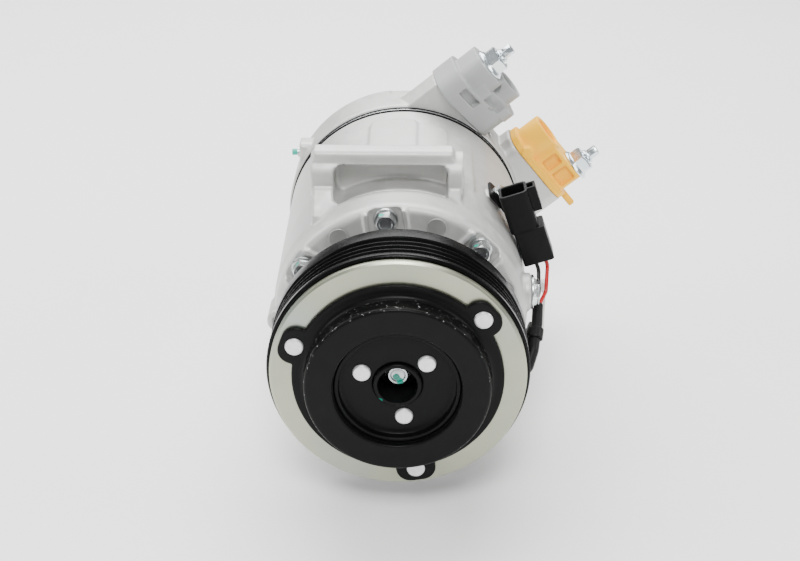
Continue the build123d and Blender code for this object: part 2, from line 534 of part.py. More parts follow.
# ---------------------------------------------------------------- rear housing
UP_PORT, UP_STUD = (9.0, 0.0), (-7.8, 0.0)
LO_PORT, LO_STUD = (-10.0, 0.0), (14.0, 0.0)
up_pl = port_plane(UP_N, UP_T, UP_Y, UP_ROT)
lo_pl = port_plane(LO_N, LO_T, LO_Y, LO_ROT)
with BuildPart() as rear_housing:
    with BuildSketch(Plane.XY):
        with BuildLine():
            Polyline((0, REAR_END), (46.5, REAR_END), (49.5, REAR_END - 1.2), (52.0, REAR_END - 5.0), (58.4, 188.6), (59.8, 187.0),
                     (REAR_R, 185.4), (REAR_R, REAR_Y0 + 0.7), (REAR_R - 0.7, REAR_Y0), (0, REAR_Y0), close=True)
        make_face()
    revolve(axis=Axis.Y)
    # pads of the two ports
    with BuildSketch(up_pl.offset(-24)):
        RectangleRounded(41.0, 25.0, 9.0)
    extrude(amount=24)
    with BuildSketch(lo_pl.offset(-34)):
        RectangleRounded(44.0, 24.0, 8.0)
    extrude(amount=34)
    # machined face for the upper port, sunk into the round body where the body stands above it
    with BuildSketch(up_pl):
        RectangleRounded(46.0, 30.0, 10.0)
    extrude(amount=12, mode=Mode.SUBTRACT)
    # boss of the bleed screw at the left
    with BuildSketch(Plane(origin=(-45, 171.0, 31.0), x_dir=(0, 1, 0), z_dir=(-1, 0, 0))):
        RectangleRounded(12.0, 13.0, 3.0)
    extrude(amount=9.5)
    # shallow notch across the top edge
    with BuildSketch(Plane(origin=(-2.5, 192.0, 62.0), x_dir=(1, 0, 0), z_dir=(0, -1, 0))):
        Rectangle(11.0, 6.0)
    extrude(amount=10.0, mode=Mode.SUBTRACT)
    # keep the front joint face flat
    with BuildSketch(F(REAR_Y0)):
        Circle(100)
    extrude(amount=30, mode=Mode.SUBTRACT)
    # discharge chamber and suction chamber
    with BuildSketch(F(REAR_Y0)):
        Circle(46.6)
        Circle(26.0, mode=Mode.SUBTRACT)
    extrude(amount=-16, mode=Mode.SUBTRACT)
    with BuildSketch(F(REAR_Y0)):
        Circle(22.0)
    extrude(amount=-20, mode=Mode.SUBTRACT)
    # wall round the suction passage, then the two passages
    with BuildSketch(up_pl.offset(-38)):
        with Locations(UP_PORT):
            Circle(11.5)
    extrude(amount=30)
    with BuildSketch(F(REAR_Y0)):
        Circle(100)
    extrude(amount=30, mode=Mode.SUBTRACT)
    with BuildSketch(up_pl):
        with Locations(UP_PORT):
            Circle(8.5)
    extrude(amount=-44, mode=Mode.SUBTRACT)
    with BuildSketch(lo_pl):
        with Locations(LO_PORT):
            Circle(7.0)
    extrude(amount=-30, mode=Mode.SUBTRACT)
    # stud holes, bolt holes, bleed screw hole, control valve bore
    with BuildSketch(up_pl):
        with Locations(UP_STUD):
            Circle(STUD_R)
    extrude(amount=-13, mode=Mode.SUBTRACT)
    with BuildSketch(lo_pl):
        with Locations(LO_STUD):
            Circle(STUD_R)
    extrude(amount=-14, mode=Mode.SUBTRACT)
    with BuildSketch(F(REAR_Y0)):
        with PolarLocations(BOLT_R, BOLT_N, start_angle=polar(BOLT_ANG)):
            Circle(3.05)
    extrude(amount=-22.5, mode=Mode.SUBTRACT)
    with BuildSketch(Plane(origin=(-60, 171.0, 31.0), x_dir=(0, 1, 0), z_dir=(-1, 0, 0))):
        Circle(1.65)
    extrude(amount=-14, mode=Mode.SUBTRACT)
    with BuildSketch(Plane(origin=(-64, 192.5, -14.0), x_dir=(0, 1, 0), z_dir=(1, 0, 0))):
        Circle(9.0)
    extrude(amount=58, mode=Mode.SUBTRACT)
save(rear_housing.part, "rear_housing")

with BuildPart() as control_valve:
    cv = Plane(origin=(-6.5, 192.5, -14.0), x_dir=(0, 1, 0), z_dir=(-1, 0, 0))
    with BuildSketch(cv):
        Circle(6.0)
    extrude(amount=18)
    with BuildSketch(cv.offset(18)):
        Circle(8.9)
    extrude(amount=24)
    with BuildSketch(cv.offset(42)):
        Circle(5.0)
    extrude(amount=5)
    for d in (20.0, 34.0):
        with BuildSketch(cv.offset(d)):
            Circle(10.0)
            Circle(7.6, mode=Mode.SUBTRACT)
        extrude(amount=2.2, mode=Mode.SUBTRACT)
save(control_valve.part, "control_valve")
# ---------------------------------------------------------------- port caps, studs, nuts
CAP_UP_H, CAP_LO_H = 24.4, 15.6
with BuildPart() as port_studs:
    for pl, at, h, root in ((up_pl, UP_STUD, CAP_UP_H, 12.0), (lo_pl, LO_STUD, CAP_LO_H, 13.0)):
        with BuildSketch(pl.offset(-root)):
            with Locations(at):
                Circle(3.95)
        extrude(amount=root + h + 9.3)
        with BuildSketch(pl.offset(h + 9.3)):
            with Locations(at):
                RegularPolygon(2.5, 6, major_radius=False)
        extrude(amount=5.4)
save(port_studs.part, "port_studs")
with BuildPart() as flange_nuts:
    for pl, at, h in ((up_pl, UP_STUD, CAP_UP_H), (lo_pl, LO_STUD, CAP_LO_H)):
        with BuildSketch(pl.offset(h)):
            with Locations(at):
                Circle(8.6)
        extrude(amount=1.9, taper=25)
        with BuildSketch(pl.offset(h + 1.0)):
            with Locations(at):
                RegularPolygon(6.2, 6, major_radius=False)
        extrude(amount=6.6)
        with BuildSketch(pl.offset(h - 1)):
            with Locations(at):
                Circle(4.0)
        extrude(amount=12, mode=Mode.SUBTRACT)
save(flange_nuts.part, "flange_nuts")

with BuildPart() as suction_port_cap:
    with BuildSketch(up_pl.offset(0.1)):
        with Locations((-0.6, 0)):
            RectangleRounded(41.8, 27.0, 9.5)
    extrude(amount=12.6)
    with BuildSketch(up_pl.offset(12.7)):
        with Locations((4.6, 0)):
            RectangleRounded(31.4, 27.0, 8.0)
    extrude(amount=6.0)
    with BuildSketch(up_pl.offset(12.7)):
        with Locations((-8.4, 0)):
            RectangleRounded(20.4, 21.0, 7.0)
    extrude(amount=CAP_UP_H - 12.7)
    with BuildSketch(up_pl.offset(18.0)):
        with Locations((UP_PORT)):
            Circle(8.1)
    extrude(amount=8.4)
    with BuildSketch(up_pl.offset(26.4)):
        with Locations(UP_PORT):
            Circle(6.8)
    extrude(amount=-10.0, mode=Mode.SUBTRACT)
    # hollow between the tower and the plug end, open to the front
    with BuildSketch(up_pl.offset(18.7)):
        with Locations((3.4, -13.5)):
            RectangleRounded(12.0, 9.0, 2.0)
    extrude(amount=-5.4, mode=Mode.SUBTRACT)
    with BuildSketch(up_pl.offset(-1)):
        with Locations(UP_STUD):
            Circle(4.2)
    extrude(amount=40, mode=Mode.SUBTRACT)
    # plug into the port
    with BuildSketch(up_pl.offset(0.1)):
        with Locations(UP_PORT):
            Circle(8.0)
    extrude(amount=-9.0)
    with BuildSketch(up_pl.offset(-6.5)):
        with Locations(UP_PORT):
            Circle(8.6)
            Circle(6.6, mode=Mode.SUBTRACT)
    extrude(amount=2.4, mode=Mode.SUBTRACT)
    # window and square recess in the front side
    with BuildSketch(Plane(origin=up_pl.origin - up_pl.y_dir * 13.6, x_dir=up_pl.x_dir, z_dir=up_pl.y_dir * -1)):
        with Locations((-8.6, 8.9)):
            RectangleRounded(12.4, 4.4, 0.6)
        with Locations((4.6, 13.6)):
            RectangleRounded(3.4, 3.4, 0.5)
    extrude(amount=-3.0, mode=Mode.SUBTRACT)
save(suction_port_cap.part, "suction_port_cap")

with BuildPart() as discharge_port_cap:
    with BuildSketch(lo_pl.offset(0.1)):
        with Locations((0.4, 0)):
            RectangleRounded(42.6, 25.4, 9.0)
    extrude(amount=3.6)
    with BuildSketch(lo_pl.offset(3.7)):
        with Locations((-10.0, 0)):
            Circle(9.9)
    extrude(amount=CAP_LO_H - 2.8)
    with BuildSketch(lo_pl.offset(3.7)):
        with Locations((6.6, 0)):
            RectangleRounded(24.4, 20.0, 5.0)
    extrude(amount=CAP_LO_H - 3.7)
    with BuildSketch(lo_pl.offset(CAP_LO_H + 1.0)):
        with Locations((-10.0, 0)):
            Circle(7.6)
    extrude(amount=-8.6, mode=Mode.SUBTRACT)
    for xx, ww in ((1.6, 6.4), (11.4, 8.6)):
        with BuildSketch(Plane(origin=lo_pl.origin - lo_pl.y_dir * 10.4, x_dir=lo_pl.x_dir, z_dir=lo_pl.y_dir * -1)):
            with Locations((xx, 9.4)):
                RectangleRounded(ww, 8.6, 1.0)
        extrude(amount=-3.2, mode=Mode.SUBTRACT)
    with BuildSketch(lo_pl.offset(-1)):
        with Locations(LO_STUD):
            Circle(4.2)
    extrude(amount=40, mode=Mode.SUBTRACT)
    with BuildSketch(lo_pl.offset(0.1)):
        with Locations(LO_PORT):
            Circle(6.5)
    extrude(amount=-9.0)
    with BuildSketch(lo_pl.offset(-6.5)):
        with Locations(LO_PORT):
            Circle(7.1)
            Circle(5.2, mode=Mode.SUBTRACT)
    extrude(amount=2.4, mode=Mode.SUBTRACT)
    # small boss on the front of the flange, pull tab at the lower end
    with BuildSketch(Plane(origin=lo_pl.origin - lo_pl.x_dir * 11.5 - lo_pl.y_dir * 13.6 + lo_pl.z_dir * 3.4, x_dir=lo_pl.x_dir, z_dir=lo_pl.y_dir * -1)):
        Circle(3.0)
    extrude(amount=-5.0)
    with BuildSketch(Plane(origin=lo_pl.origin + lo_pl.x_dir * 20.6 + lo_pl.z_dir * 1.9, x_dir=lo_pl.y_dir, z_dir=lo_pl.x_dir)):
        RectangleRounded(4.0, 3.4, 1.2)
    extrude(amount=10.0)
save(discharge_port_cap.part, "discharge_port_cap")

with BuildPart() as o_rings:
    with BuildSketch(up_pl.offset(-6.4)):
        with Locations(UP_PORT):
            Circle(8.45)
            Circle(6.65, mode=Mode.SUBTRACT)
    extrude(amount=2.2)
    with BuildSketch(lo_pl.offset(-6.4)):
        with Locations(LO_PORT):
            Circle(6.95)
            Circle(5.25, mode=Mode.SUBTRACT)
    extrude(amount=2.2)
    for d in (20.1, 34.1):
        with BuildSketch(cv.offset(d)):
            Circle(8.98)
            Circle(7.62, mode=Mode.SUBTRACT)
        extrude(amount=2.0)
save(o_rings.part, "o_rings")

# ---------------------------------------------------------------- shaft and what turns with it
SH = 8.0
with BuildPart() as drive_shaft:
    with BuildSketch(Plane.XY):
        with BuildLine():
            Polyline((0, 10.1), (5.95, 10.1), (5.95, 15.2), (SH, 15.2), (SH, 62.0), (7.0, 62.0), (7.0, 122.0), (6.4, 122.0),
                     (6.4, 146.0), (5.8, 146.8), (0, 146.8), close=True)
        make_face()
    revolve(axis=Axis.Y)
    with BuildSketch(F(5)):
        Circle(3.0)
    extrude(amount=-20, mode=Mode.SUBTRACT)
save(drive_shaft.part, "drive_shaft")

with BuildPart() as lug_plate:
    with BuildSketch(Plane.XY):
        with BuildLine():
            Polyline((SH + 0.02, 59.0), (20.0, 59.0), (20.0, 61.6), (38.0, 62.4), (38.0, 67.4), (15.0, 69.4), (15.0, 73.0),
                     (7.05, 73.0), (7.05, 62.2), (SH + 0.02, 62.0), close=True)
        make_face()
    revolve(axis=Axis.Y)
    # hinge arm of the drive plate with its two cheeks
    for sx in (-1, 1):
        with BuildSketch(Plane(origin=(sx * 6.5, 0, 0), x_dir=(0, 1, 0), z_dir=(1, 0, 0))):
            with BuildLine():
                Polyline((66.0, 15.5), (66.0, 25.0), (74.0, 25.0), (75.8, 23.0), (75.8, 18.5), (74.0, 15.5), close=True)
            make_face()
        extrude(amount=2.5, both=True)
    # pin between the cheeks
    with BuildSketch(Plane(origin=(-5.0, 72.5, 20.5), x_dir=(0, 1, 0), z_dir=(1, 0, 0))):
        Circle(2.2)
    extrude(amount=10.0)
save(lug_plate.part, "lug_plate")

with BuildPart() as pivot_sleeve:
    with Locations((0, SWASH_Y, 0)):
        Sphere(SLEEVE_R)
    with BuildSketch(F(SWASH_Y - 8.0)):
        Circle(20)
    extrude(amount=20, mode=Mode.SUBTRACT)
    with BuildSketch(F(SWASH_Y + 8.0)):
        Circle(20)
    extrude(amount=-20, mode=Mode.SUBTRACT)
    with BuildSketch(F(SWASH_Y - 20)):
        Circle(7.05)
    extrude(amount=-40, mode=Mode.SUBTRACT)
save(pivot_sleeve.part, "pivot_sleeve")

with BuildPart() as return_spring:
    with BuildLine() as coil_line:
        Helix(2.3, 6.9, 8.35, center=(0, 73.9, 0), direction=(0, 1, 0))
    with BuildSketch(Plane(origin=coil_line.line @ 0, z_dir=coil_line.line % 0)):
        Circle(0.7)
    sweep(is_frenet=True)
save(return_spring.part, "return_spring")

with BuildPart() as needle_bearings:
    # thrust bearing in front of the lug plate: two races and the needle cage
    for y0 in (56.1, 57.9):
        with BuildSketch(F(y0)):
            Circle(18.5)
            Circle(10.8, mode=Mode.SUBTRACT)
        extrude(amount=-0.7)
    with BuildSketch(F(56.9)):
        Circle(18.0)
        Circle(11.2, mode=Mode.SUBTRACT)
    extrude(amount=-0.9)
    # radial bearings of the shaft
    with BuildSketch(F(34.0)):
        Circle(10.5)
        Circle(8.05, mode=Mode.SUBTRACT)
    extrude(amount=-16)
    with BuildSketch(F(124.0)):
        Circle(9.5)
        Circle(6.45, mode=Mode.SUBTRACT)
    extrude(amount=-20)
save(needle_bearings.part, "needle_bearings")
save(turned((8.05, 18.0), (12.4, 18.0), (12.4, 28.0), (10.8, 28.0), (10.8, 20.0), (8.6, 22.5), (8.6, 25.0), (8.05, 25.0)), "shaft_seal")

# ---------------------------------------------------------------- swash plate, shoes and pistons
with BuildPart() as swash_plate:
    with BuildSketch(Plane.XY):
        with BuildLine():
            Polyline((5.0, SWASH_Y - 5.0), (18.5, SWASH_Y - 5.0), (20.0, SWASH_Y - SWASH_T / 2), (SWASH_R, SWASH_Y - SWASH_T / 2),
                     (SWASH_R, SWASH_Y + SWASH_T / 2), (20.0, SWASH_Y + SWASH_T / 2), (18.5, SWASH_Y + 5.0),
                     (5.0, SWASH_Y + 5.0), close=True)
        make_face()
    revolve(axis=Axis.Y)
    with Locations((0, SWASH_Y, 0)):
        Sphere(SLEEVE_R + 0.08, mode=Mode.SUBTRACT)
save(swash_plate.part, "swash_plate")

SHOE_GAP = 0.3
for k in range(BOLT_N):
    cx, cz = radial_xz(CYL_R, CYL_ANG + k * BOLT_STEP)
    a = CYL_ANG + k * BOLT_STEP
    with BuildPart() as shoes:
        with Locations((cx, SWASH_Y, cz)):
            Sphere(SHOE_SPHERE - 0.12)
        with BuildSketch(Plane(origin=(cx, SWASH_Y - SWASH_T / 2 - SHOE_GAP, cz), x_dir=(1, 0, 0), z_dir=(0, 1, 0))):
            Circle(20)
        extrude(amount=SWASH_T + 2 * SHOE_GAP, mode=Mode.SUBTRACT)
    save(shoes.part, f"shoes_{k + 1}")
    rad = Vector(math.sin(math.radians(a)), 0, math.cos(math.radians(a)))
    with BuildPart() as piston:
        # head in the cylinder
        with BuildSketch(Plane(origin=(cx, 122.5, cz), x_dir=(1, 0, 0), z_dir=(0, 1, 0))):
            Circle(BORE_R - 0.05)
        extrude(amount=20.5)
        for yg in (137.0, 139.8):
            with BuildSketch(Plane(origin=(cx, yg, cz), x_dir=(1, 0, 0), z_dir=(0, 1, 0))):
                Circle(BORE_R + 1)
                Circle(BORE_R - 1.2, mode=Mode.SUBTRACT)
            extrude(amount=1.3, mode=Mode.SUBTRACT)
        # neck, rear pocket leg, front pocket leg
        for y0, r0, ln in ((97.0, 9.2, 26.0), (95.2, 6.8, 2.0), (79.0, 6.8, 5.8)):
            with BuildSketch(Plane(origin=(cx, y0, cz), x_dir=rad, z_dir=(0, 1, 0))):
                Circle(r0)
            extrude(amount=ln)
        # bridge outside the plate's rim
        for y0, x0, wx, ln in ((79.0, 9.6, 3.4, 22.0), (79.0, 5.5, 7.0, 4.6), (97.0, 5.5, 7.0, 4.0)):
            with BuildSketch(Plane(origin=(cx, y0, cz), x_dir=rad, z_dir=(0, 1, 0))):
                with Locations((x0, 0)):
                    Rectangle(wx, 12.0)
            extrude(amount=ln)
        with Locations((cx, SWASH_Y, cz)):
            Sphere(SHOE_SPHERE + 0.02, mode=Mode.SUBTRACT)
    save(piston.part, f"piston_{k + 1}")

# ---------------------------------------------------------------- oil plug, small screws
with BuildPart() as oil_plug:
    op = Plane(origin=(58.3, OIL_Y, OIL_Z), x_dir=(0, 1, 0), z_dir=(1, 0, 0))
    with BuildSketch(op):
        Circle(7.8)
    extrude(amount=1.2)
    with BuildSketch(op.offset(1.2)):
        Circle(6.2)
    extrude(amount=0.9)
    with BuildSketch(op.offset(2.1)):
        RegularPolygon(5.0, 6, major_radius=False)
    extrude(amount=1.7)
    with BuildSketch(op.offset(3.8)):
        RegularPolygon(2.5, 6, major_radius=False)
    extrude(amount=-2.6, mode=Mode.SUBTRACT)
    with BuildSketch(op):
        Circle(3.95)
    extrude(amount=-12.0)
save(oil_plug.part, "oil_plug")

BRK_TOP = 59.6 + 1.5                   # outer face of the bracket's foot
CLAMP_TOP = 59.0 + 1.2
brk_axis = Plane(origin=tuple(BRK_N * BRK_TOP + Vector(0, BRK_Y, 0)), x_dir=(0, 1, 0), z_dir=tuple(BRK_N))
clamp_axis = Plane(origin=tuple(CLAMP_N * CLAMP_TOP + Vector(0, CLAMP_Y, 0)), x_dir=(0, 1, 0), z_dir=tuple(CLAMP_N))
bleed_axis = Plane(origin=(-54.6, 171.0, 31.0), x_dir=(0, 1, 0), z_dir=(-1, 0, 0))
with BuildPart() as small_screws:
    for pl, root in ((brk_axis, 7.0), (clamp_axis, 8.5)):
        with BuildSketch(pl.offset(-root)):
            Circle(1.95)
        extrude(amount=root)
        with BuildSketch(pl):
            Circle(4.2)
        extrude(amount=1.0)
        with BuildSketch(pl.offset(1.0)):
            RegularPolygon(3.4, 6, major_radius=False)
        extrude(amount=2.6)
    with BuildSketch(bleed_axis.offset(-7.0)):
        Circle(1.6)
    extrude(amount=11.0)
    with BuildSketch(bleed_axis):
        Circle(2.6)
    extrude(amount=0.9)
save(small_screws.part, "small_screws")

# ---------------------------------------------------------------- connector and its bracket
def con_plane(y):
    """Across the shaft at y: local x is the distance from the axis, local y runs up the connector."""
    return Plane(origin=(0, y, 0), x_dir=tuple(CON_N), z_dir=(0, -1, 0))


def con_section(t):
    """Across the connector at t (negative t is nearer the mouth): local x outwards, local y to the rear."""
    return Plane(origin=tuple(CON_T * t), x_dir=tuple(CON_N), z_dir=tuple(CON_T * -1))


CON_MOUTH, CON_STEP_T, CON_END = -32.0, -13.0, 4.0
CON_YM = (CON_Y0 + CON_Y1) / 2
with BuildPart() as connector:
    with BuildSketch(con_section(CON_STEP_T)):
        with Locations((63.5, CON_YM)):
            RectangleRounded(13.0, CON_Y1 - CON_Y0, 2.2)
    extrude(amount=CON_STEP_T - CON_MOUTH)
    with BuildSketch(con_section(CON_END)):
        with Locations((65.3, CON_YM)):
            RectangleRounded(14.2, CON_Y1 - CON_Y0 + 0.6, 1.2)
    extrude(amount=CON_END - CON_STEP_T)
    with BuildSketch(con_section(-20.0)):
        with Locations((71.6, CON_YM)):
            Rectangle(4.6, 6.8)
    extrude(amount=12.0)
    with BuildSketch(con_section(CON_MOUTH)):
        with Locations((63.5, CON_YM)):
            RectangleRounded(10.4, 9.6, 1.4)
    extrude(amount=-15.0, mode=Mode.SUBTRACT)
    with BuildSketch(con_section(CON_MOUTH)):
        with Locations((71.4, CON_YM)):
            Rectangle(2.6, 4.2)
    extrude(amount=-9.0, mode=Mode.SUBTRACT)
    # wire outlets
    with BuildSketch(con_section(CON_END)):
        with Locations((63.4, CON_YM), (68.2, CON_YM)):
            Circle(1.3)
    extrude(amount=6.0, mode=Mode.SUBTRACT)
save(connector.part, "connector")
with BuildPart() as connector_pins:
    with BuildSketch(con_section(CON_MOUTH + 15.0)):
        with Locations((62.3, CON_YM), (66.3, CON_YM)):
            Rectangle(0.8, 2.8)
    extrude(amount=10.0)
save(connector_pins.part, "connector_pins")

with BuildPart() as connector_bracket:
    # web behind the connector
    with BuildSketch(con_plane(CON_Y1 + 0.5)):
        with BuildLine():
            Polyline((59.2, 8.0), (57.0, 16.0), (54.4, 24.0), (52.0, 29.6), (54.8, 30.6), (58.0, 25.5), (69.0, 25.5), (69.0, 8.0), close=True)
        make_face()
    extrude(amount=-1.5)
    # foot on its pad
    with BuildSketch(Plane(origin=tuple(BRK_N * (BRK_TOP - 1.5) + Vector(0, BRK_Y, 0)), x_dir=(0, 1, 0), z_dir=tuple(BRK_N))):
        with Locations((-1.0, 0)):
            RectangleRounded(15.0, 12.5, 1.5)
        Circle(2.1, mode=Mode.SUBTRACT)
    extrude(amount=1.5)
save(connector_bracket.part, "connector_bracket")

# ---------------------------------------------------------------- coil lead
SLEEVE_PTS = [(62.6, 65.5, -0.6), (61.9, 57.0, -6.0), (59.9, 46.5, -13.5), (57.0, 39.5, -19.5), (50.0, 36.6, -17.5), (44.3, 35.6, -7.9), (44.31, 30.9, -7.81)]
BLACK_PTS = [tuple(CON_N * 63.4 + CON_T * 2.0 + Vector(0, CON_YM, 0)), tuple(CON_N * 63.5 + CON_T * 10.0 + Vector(0, CON_YM - 1.0, 0)),
             (63.4, 70.6, 2.6), (61.55, 65.9, -0.4)]
RED_PTS = [tuple(CON_N * 68.2 + CON_T * 2.0 + Vector(0, CON_YM, 0)), tuple(CON_N * 68.0 + CON_T * 9.0 + Vector(0, CON_YM - 1.2, 0)),
           (66.6, 71.0, 3.4), (63.6, 65.95, -0.2)]


def tube(name, pts, radius, section, inner=0.0):
    with BuildPart() as t:
        with BuildLine() as route:
            FilletPolyline(*pts, radius=radius)
        with BuildSketch(Plane(origin=route.line @ 0, z_dir=route.line % 0)):
            Circle(section)
            if inner:
                Circle(inner, mode=Mode.SUBTRACT)
        sweep()
    save(t.part, name)


tube("lead_sleeve", SLEEVE_PTS, 2.7, 2.5)
tube("black_wire", BLACK_PTS, 4.0, 0.9)
tube("red_wire", RED_PTS, 4.0, 0.9)

# clamp that holds the sleeve on the housing
sl_dir = (Vector(*SLEEVE_PTS[2]) - Vector(*SLEEVE_PTS[1])).normalized()
c_org = Vector(*SLEEVE_PTS[1]) + sl_dir * 5.0
with BuildPart() as lead_clamp:
    with BuildSketch(Plane(origin=tuple(c_org - sl_dir * 2.5), x_dir=tuple(CLAMP_N), z_dir=tuple(sl_dir))):
        Circle(3.5)
        Circle(2.52, mode=Mode.SUBTRACT)
    extrude(amount=5.0)
    with BuildSketch(Plane(origin=tuple(CLAMP_N * (CLAMP_TOP - 1.2) + Vector(0, CLAMP_Y, 0)), x_dir=(0, 1, 0), z_dir=tuple(CLAMP_N))):
        with Locations((-2.0, 2.5)):
            RectangleRounded(13.0, 13.0, 3.0)
        Circle(2.1, mode=Mode.SUBTRACT)
    extrude(amount=1.2)
    with BuildSketch(Plane(origin=tuple(c_org - sl_dir * 12), x_dir=tuple(CLAMP_N), z_dir=tuple(sl_dir))):
        Circle(2.6)
    extrude(amount=24.0, mode=Mode.SUBTRACT)
save(lead_clamp.part, "lead_clamp")

# cable tie round the two wires, its tail hanging down
with BuildPart() as cable_tie:
    with BuildSketch(Plane(origin=(66.4, 76.5, 5.8), x_dir=(1, 0, 0), z_dir=(0, 0, -1))):
        Rectangle(3.0, 4.6)
    extrude(amount=5.0)
    with BuildSketch(Plane(origin=(66.5, 76.5, 1.6), x_dir=(1, 0, 0), z_dir=(0, 0, -1))):
        Rectangle(1.1, 2.6)
    extrude(amount=27.0)
save(cable_tie.part, "cable_tie")
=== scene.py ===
import bpy, bmesh, json, math, random
import numpy as np
from mathutils import Vector, Matrix


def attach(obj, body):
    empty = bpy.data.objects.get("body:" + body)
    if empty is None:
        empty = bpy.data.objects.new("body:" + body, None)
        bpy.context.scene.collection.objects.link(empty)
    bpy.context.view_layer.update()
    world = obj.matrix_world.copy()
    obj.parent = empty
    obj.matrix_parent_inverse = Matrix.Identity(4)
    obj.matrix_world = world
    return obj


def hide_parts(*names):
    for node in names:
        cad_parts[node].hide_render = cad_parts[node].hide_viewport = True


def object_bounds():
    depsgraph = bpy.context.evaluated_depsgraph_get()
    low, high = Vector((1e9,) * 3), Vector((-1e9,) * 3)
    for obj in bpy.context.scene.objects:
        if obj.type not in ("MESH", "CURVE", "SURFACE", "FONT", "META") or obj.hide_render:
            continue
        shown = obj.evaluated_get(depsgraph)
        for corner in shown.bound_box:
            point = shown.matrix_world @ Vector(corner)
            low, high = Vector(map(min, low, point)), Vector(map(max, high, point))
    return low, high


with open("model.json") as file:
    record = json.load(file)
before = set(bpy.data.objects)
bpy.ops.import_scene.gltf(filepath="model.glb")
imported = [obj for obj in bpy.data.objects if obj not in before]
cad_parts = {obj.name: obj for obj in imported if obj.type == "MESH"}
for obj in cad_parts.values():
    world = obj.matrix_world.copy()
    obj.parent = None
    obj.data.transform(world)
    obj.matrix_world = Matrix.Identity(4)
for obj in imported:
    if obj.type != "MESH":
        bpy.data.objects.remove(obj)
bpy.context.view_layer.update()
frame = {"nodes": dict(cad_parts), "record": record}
NODES = frame["nodes"]
MM = 0.001
RIVET_ANG, BOLT_ANG, BOLT_N = -69.86, -7.12, 7
BOLT_STEP = 360.0 / BOLT_N


# =============================================================== node helpers
def new_mat(name):
    m = bpy.data.materials.new(name)
    m.use_nodes = True
    nt = m.node_tree
    nt.nodes.clear()
    out = nt.nodes.new("ShaderNodeOutputMaterial")
    b = nt.nodes.new("ShaderNodeBsdfPrincipled")
    nt.links.new(b.outputs[0], out.inputs[0])
    return m, nt, b


def N(nt, kind, **kw):
    n = nt.nodes.new(kind)
    for k, v in kw.items():
        if k in n.inputs:
            n.inputs[k].default_value = v
        else:
            setattr(n, k, v)
    return n


def coords(nt):
    return nt.nodes.new("ShaderNodeTexCoord").outputs["Object"]


def noise(nt, co, scale, detail=4.0, rough=0.55, dist=0.0):
    n = nt.nodes.new("ShaderNodeTexNoise")
    n.inputs["Scale"].default_value = scale
    n.inputs["Detail"].default_value = detail
    n.inputs["Roughness"].default_value = rough
    n.inputs["Distortion"].default_value = dist
    nt.links.new(co, n.inputs["Vector"])
    return n.outputs["Fac"]


def ramp(nt, fac, stops):
    r = nt.nodes.new("ShaderNodeValToRGB")
    el = r.color_ramp.elements
    while len(el) < len(stops):
        el.new(0.5)
    for e, (p, c) in zip(el, stops):
        e.position = p
        e.color = (*c, 1) if len(c) == 3 else c
    nt.links.new(fac, r.inputs[0])
    return r.outputs[0]


def maprange(nt, fac, a, b, c, d):
    m = nt.nodes.new("ShaderNodeMapRange")
    m.inputs["From Min"].default_value = a
    m.inputs["From Max"].default_value = b
    m.inputs["To Min"].default_value = c
    m.inputs["To Max"].default_value = d
    nt.links.new(fac, m.inputs["Value"])
    return m.outputs[0]


def math_n(nt, op, a, b=None):
    m = nt.nodes.new("ShaderNodeMath")
    m.operation = op
    for i, v in enumerate((a, b)):
        if v is None:
            continue
        if isinstance(v, (int, float)):
            m.inputs[i].default_value = v
        else:
            nt.links.new(v, m.inputs[i])
    return m.outputs[0]


def mixc(nt, fac, a, b):
    m = nt.nodes.new("ShaderNodeMix")
    m.data_type = "RGBA"
    for sock, v in ((m.inputs["Factor"], fac), (m.inputs[6], a), (m.inputs[7], b)):
        if isinstance(v, (int, float)):
            sock.default_value = v
        elif isinstance(v, tuple):
            sock.default_value = (*v, 1) if len(v) == 3 else v
        else:
            nt.links.new(v, sock)
    return m.outputs[2]


def bump(nt, b, height, strength, dist, prev=None):
    n = nt.nodes.new("ShaderNodeBump")
    n.inputs["Strength"].default_value = strength
    n.inputs["Distance"].default_value = dist
    nt.links.new(height, n.inputs["Height"])
    if prev is not None:
        nt.links.new(prev, n.inputs["Normal"])
    nt.links.new(n.outputs[0], b.inputs["Normal"])
    return n.outputs[0]


def sep(nt, co):
    s = nt.nodes.new("ShaderNodeSeparateXYZ")
    nt.links.new(co, s.inputs[0])
    return s.outputs


def radius_y(nt, co):
    """Distance from the shaft axis, in metres."""
    x, y, z = sep(nt, co)
    return math_n(nt, "SQRT", math_n(nt, "ADD", math_n(nt, "MULTIPLY", x, x), math_n(nt, "MULTIPLY", z, z)))


def metal(name, col, rough, var=0.06, rvar=0.1, bumps=0.15, scale=900, metallic=1.0, tint=None, spec=0.5):
    m, nt, b = new_mat(name)
    co = coords(nt)
    n1 = noise(nt, co, 60, 5)
    n2 = noise(nt, co, scale, 3)
    dark = tuple(max(0, c - var) for c in col)
    light = tuple(min(1, c + var) for c in (tint or col))
    c = ramp(nt, n1, [(0.3, dark), (0.7, light)])
    nt.links.new(c, b.inputs["Base Color"])
    nt.links.new(maprange(nt, n2, 0.3, 0.7, rough - rvar / 2, rough + rvar / 2), b.inputs["Roughness"])
    b.inputs["Metallic"].default_value = metallic
    b.inputs["Specular IOR Level"].default_value = spec
    bump(nt, b, n2, bumps, 0.00005)
    return m


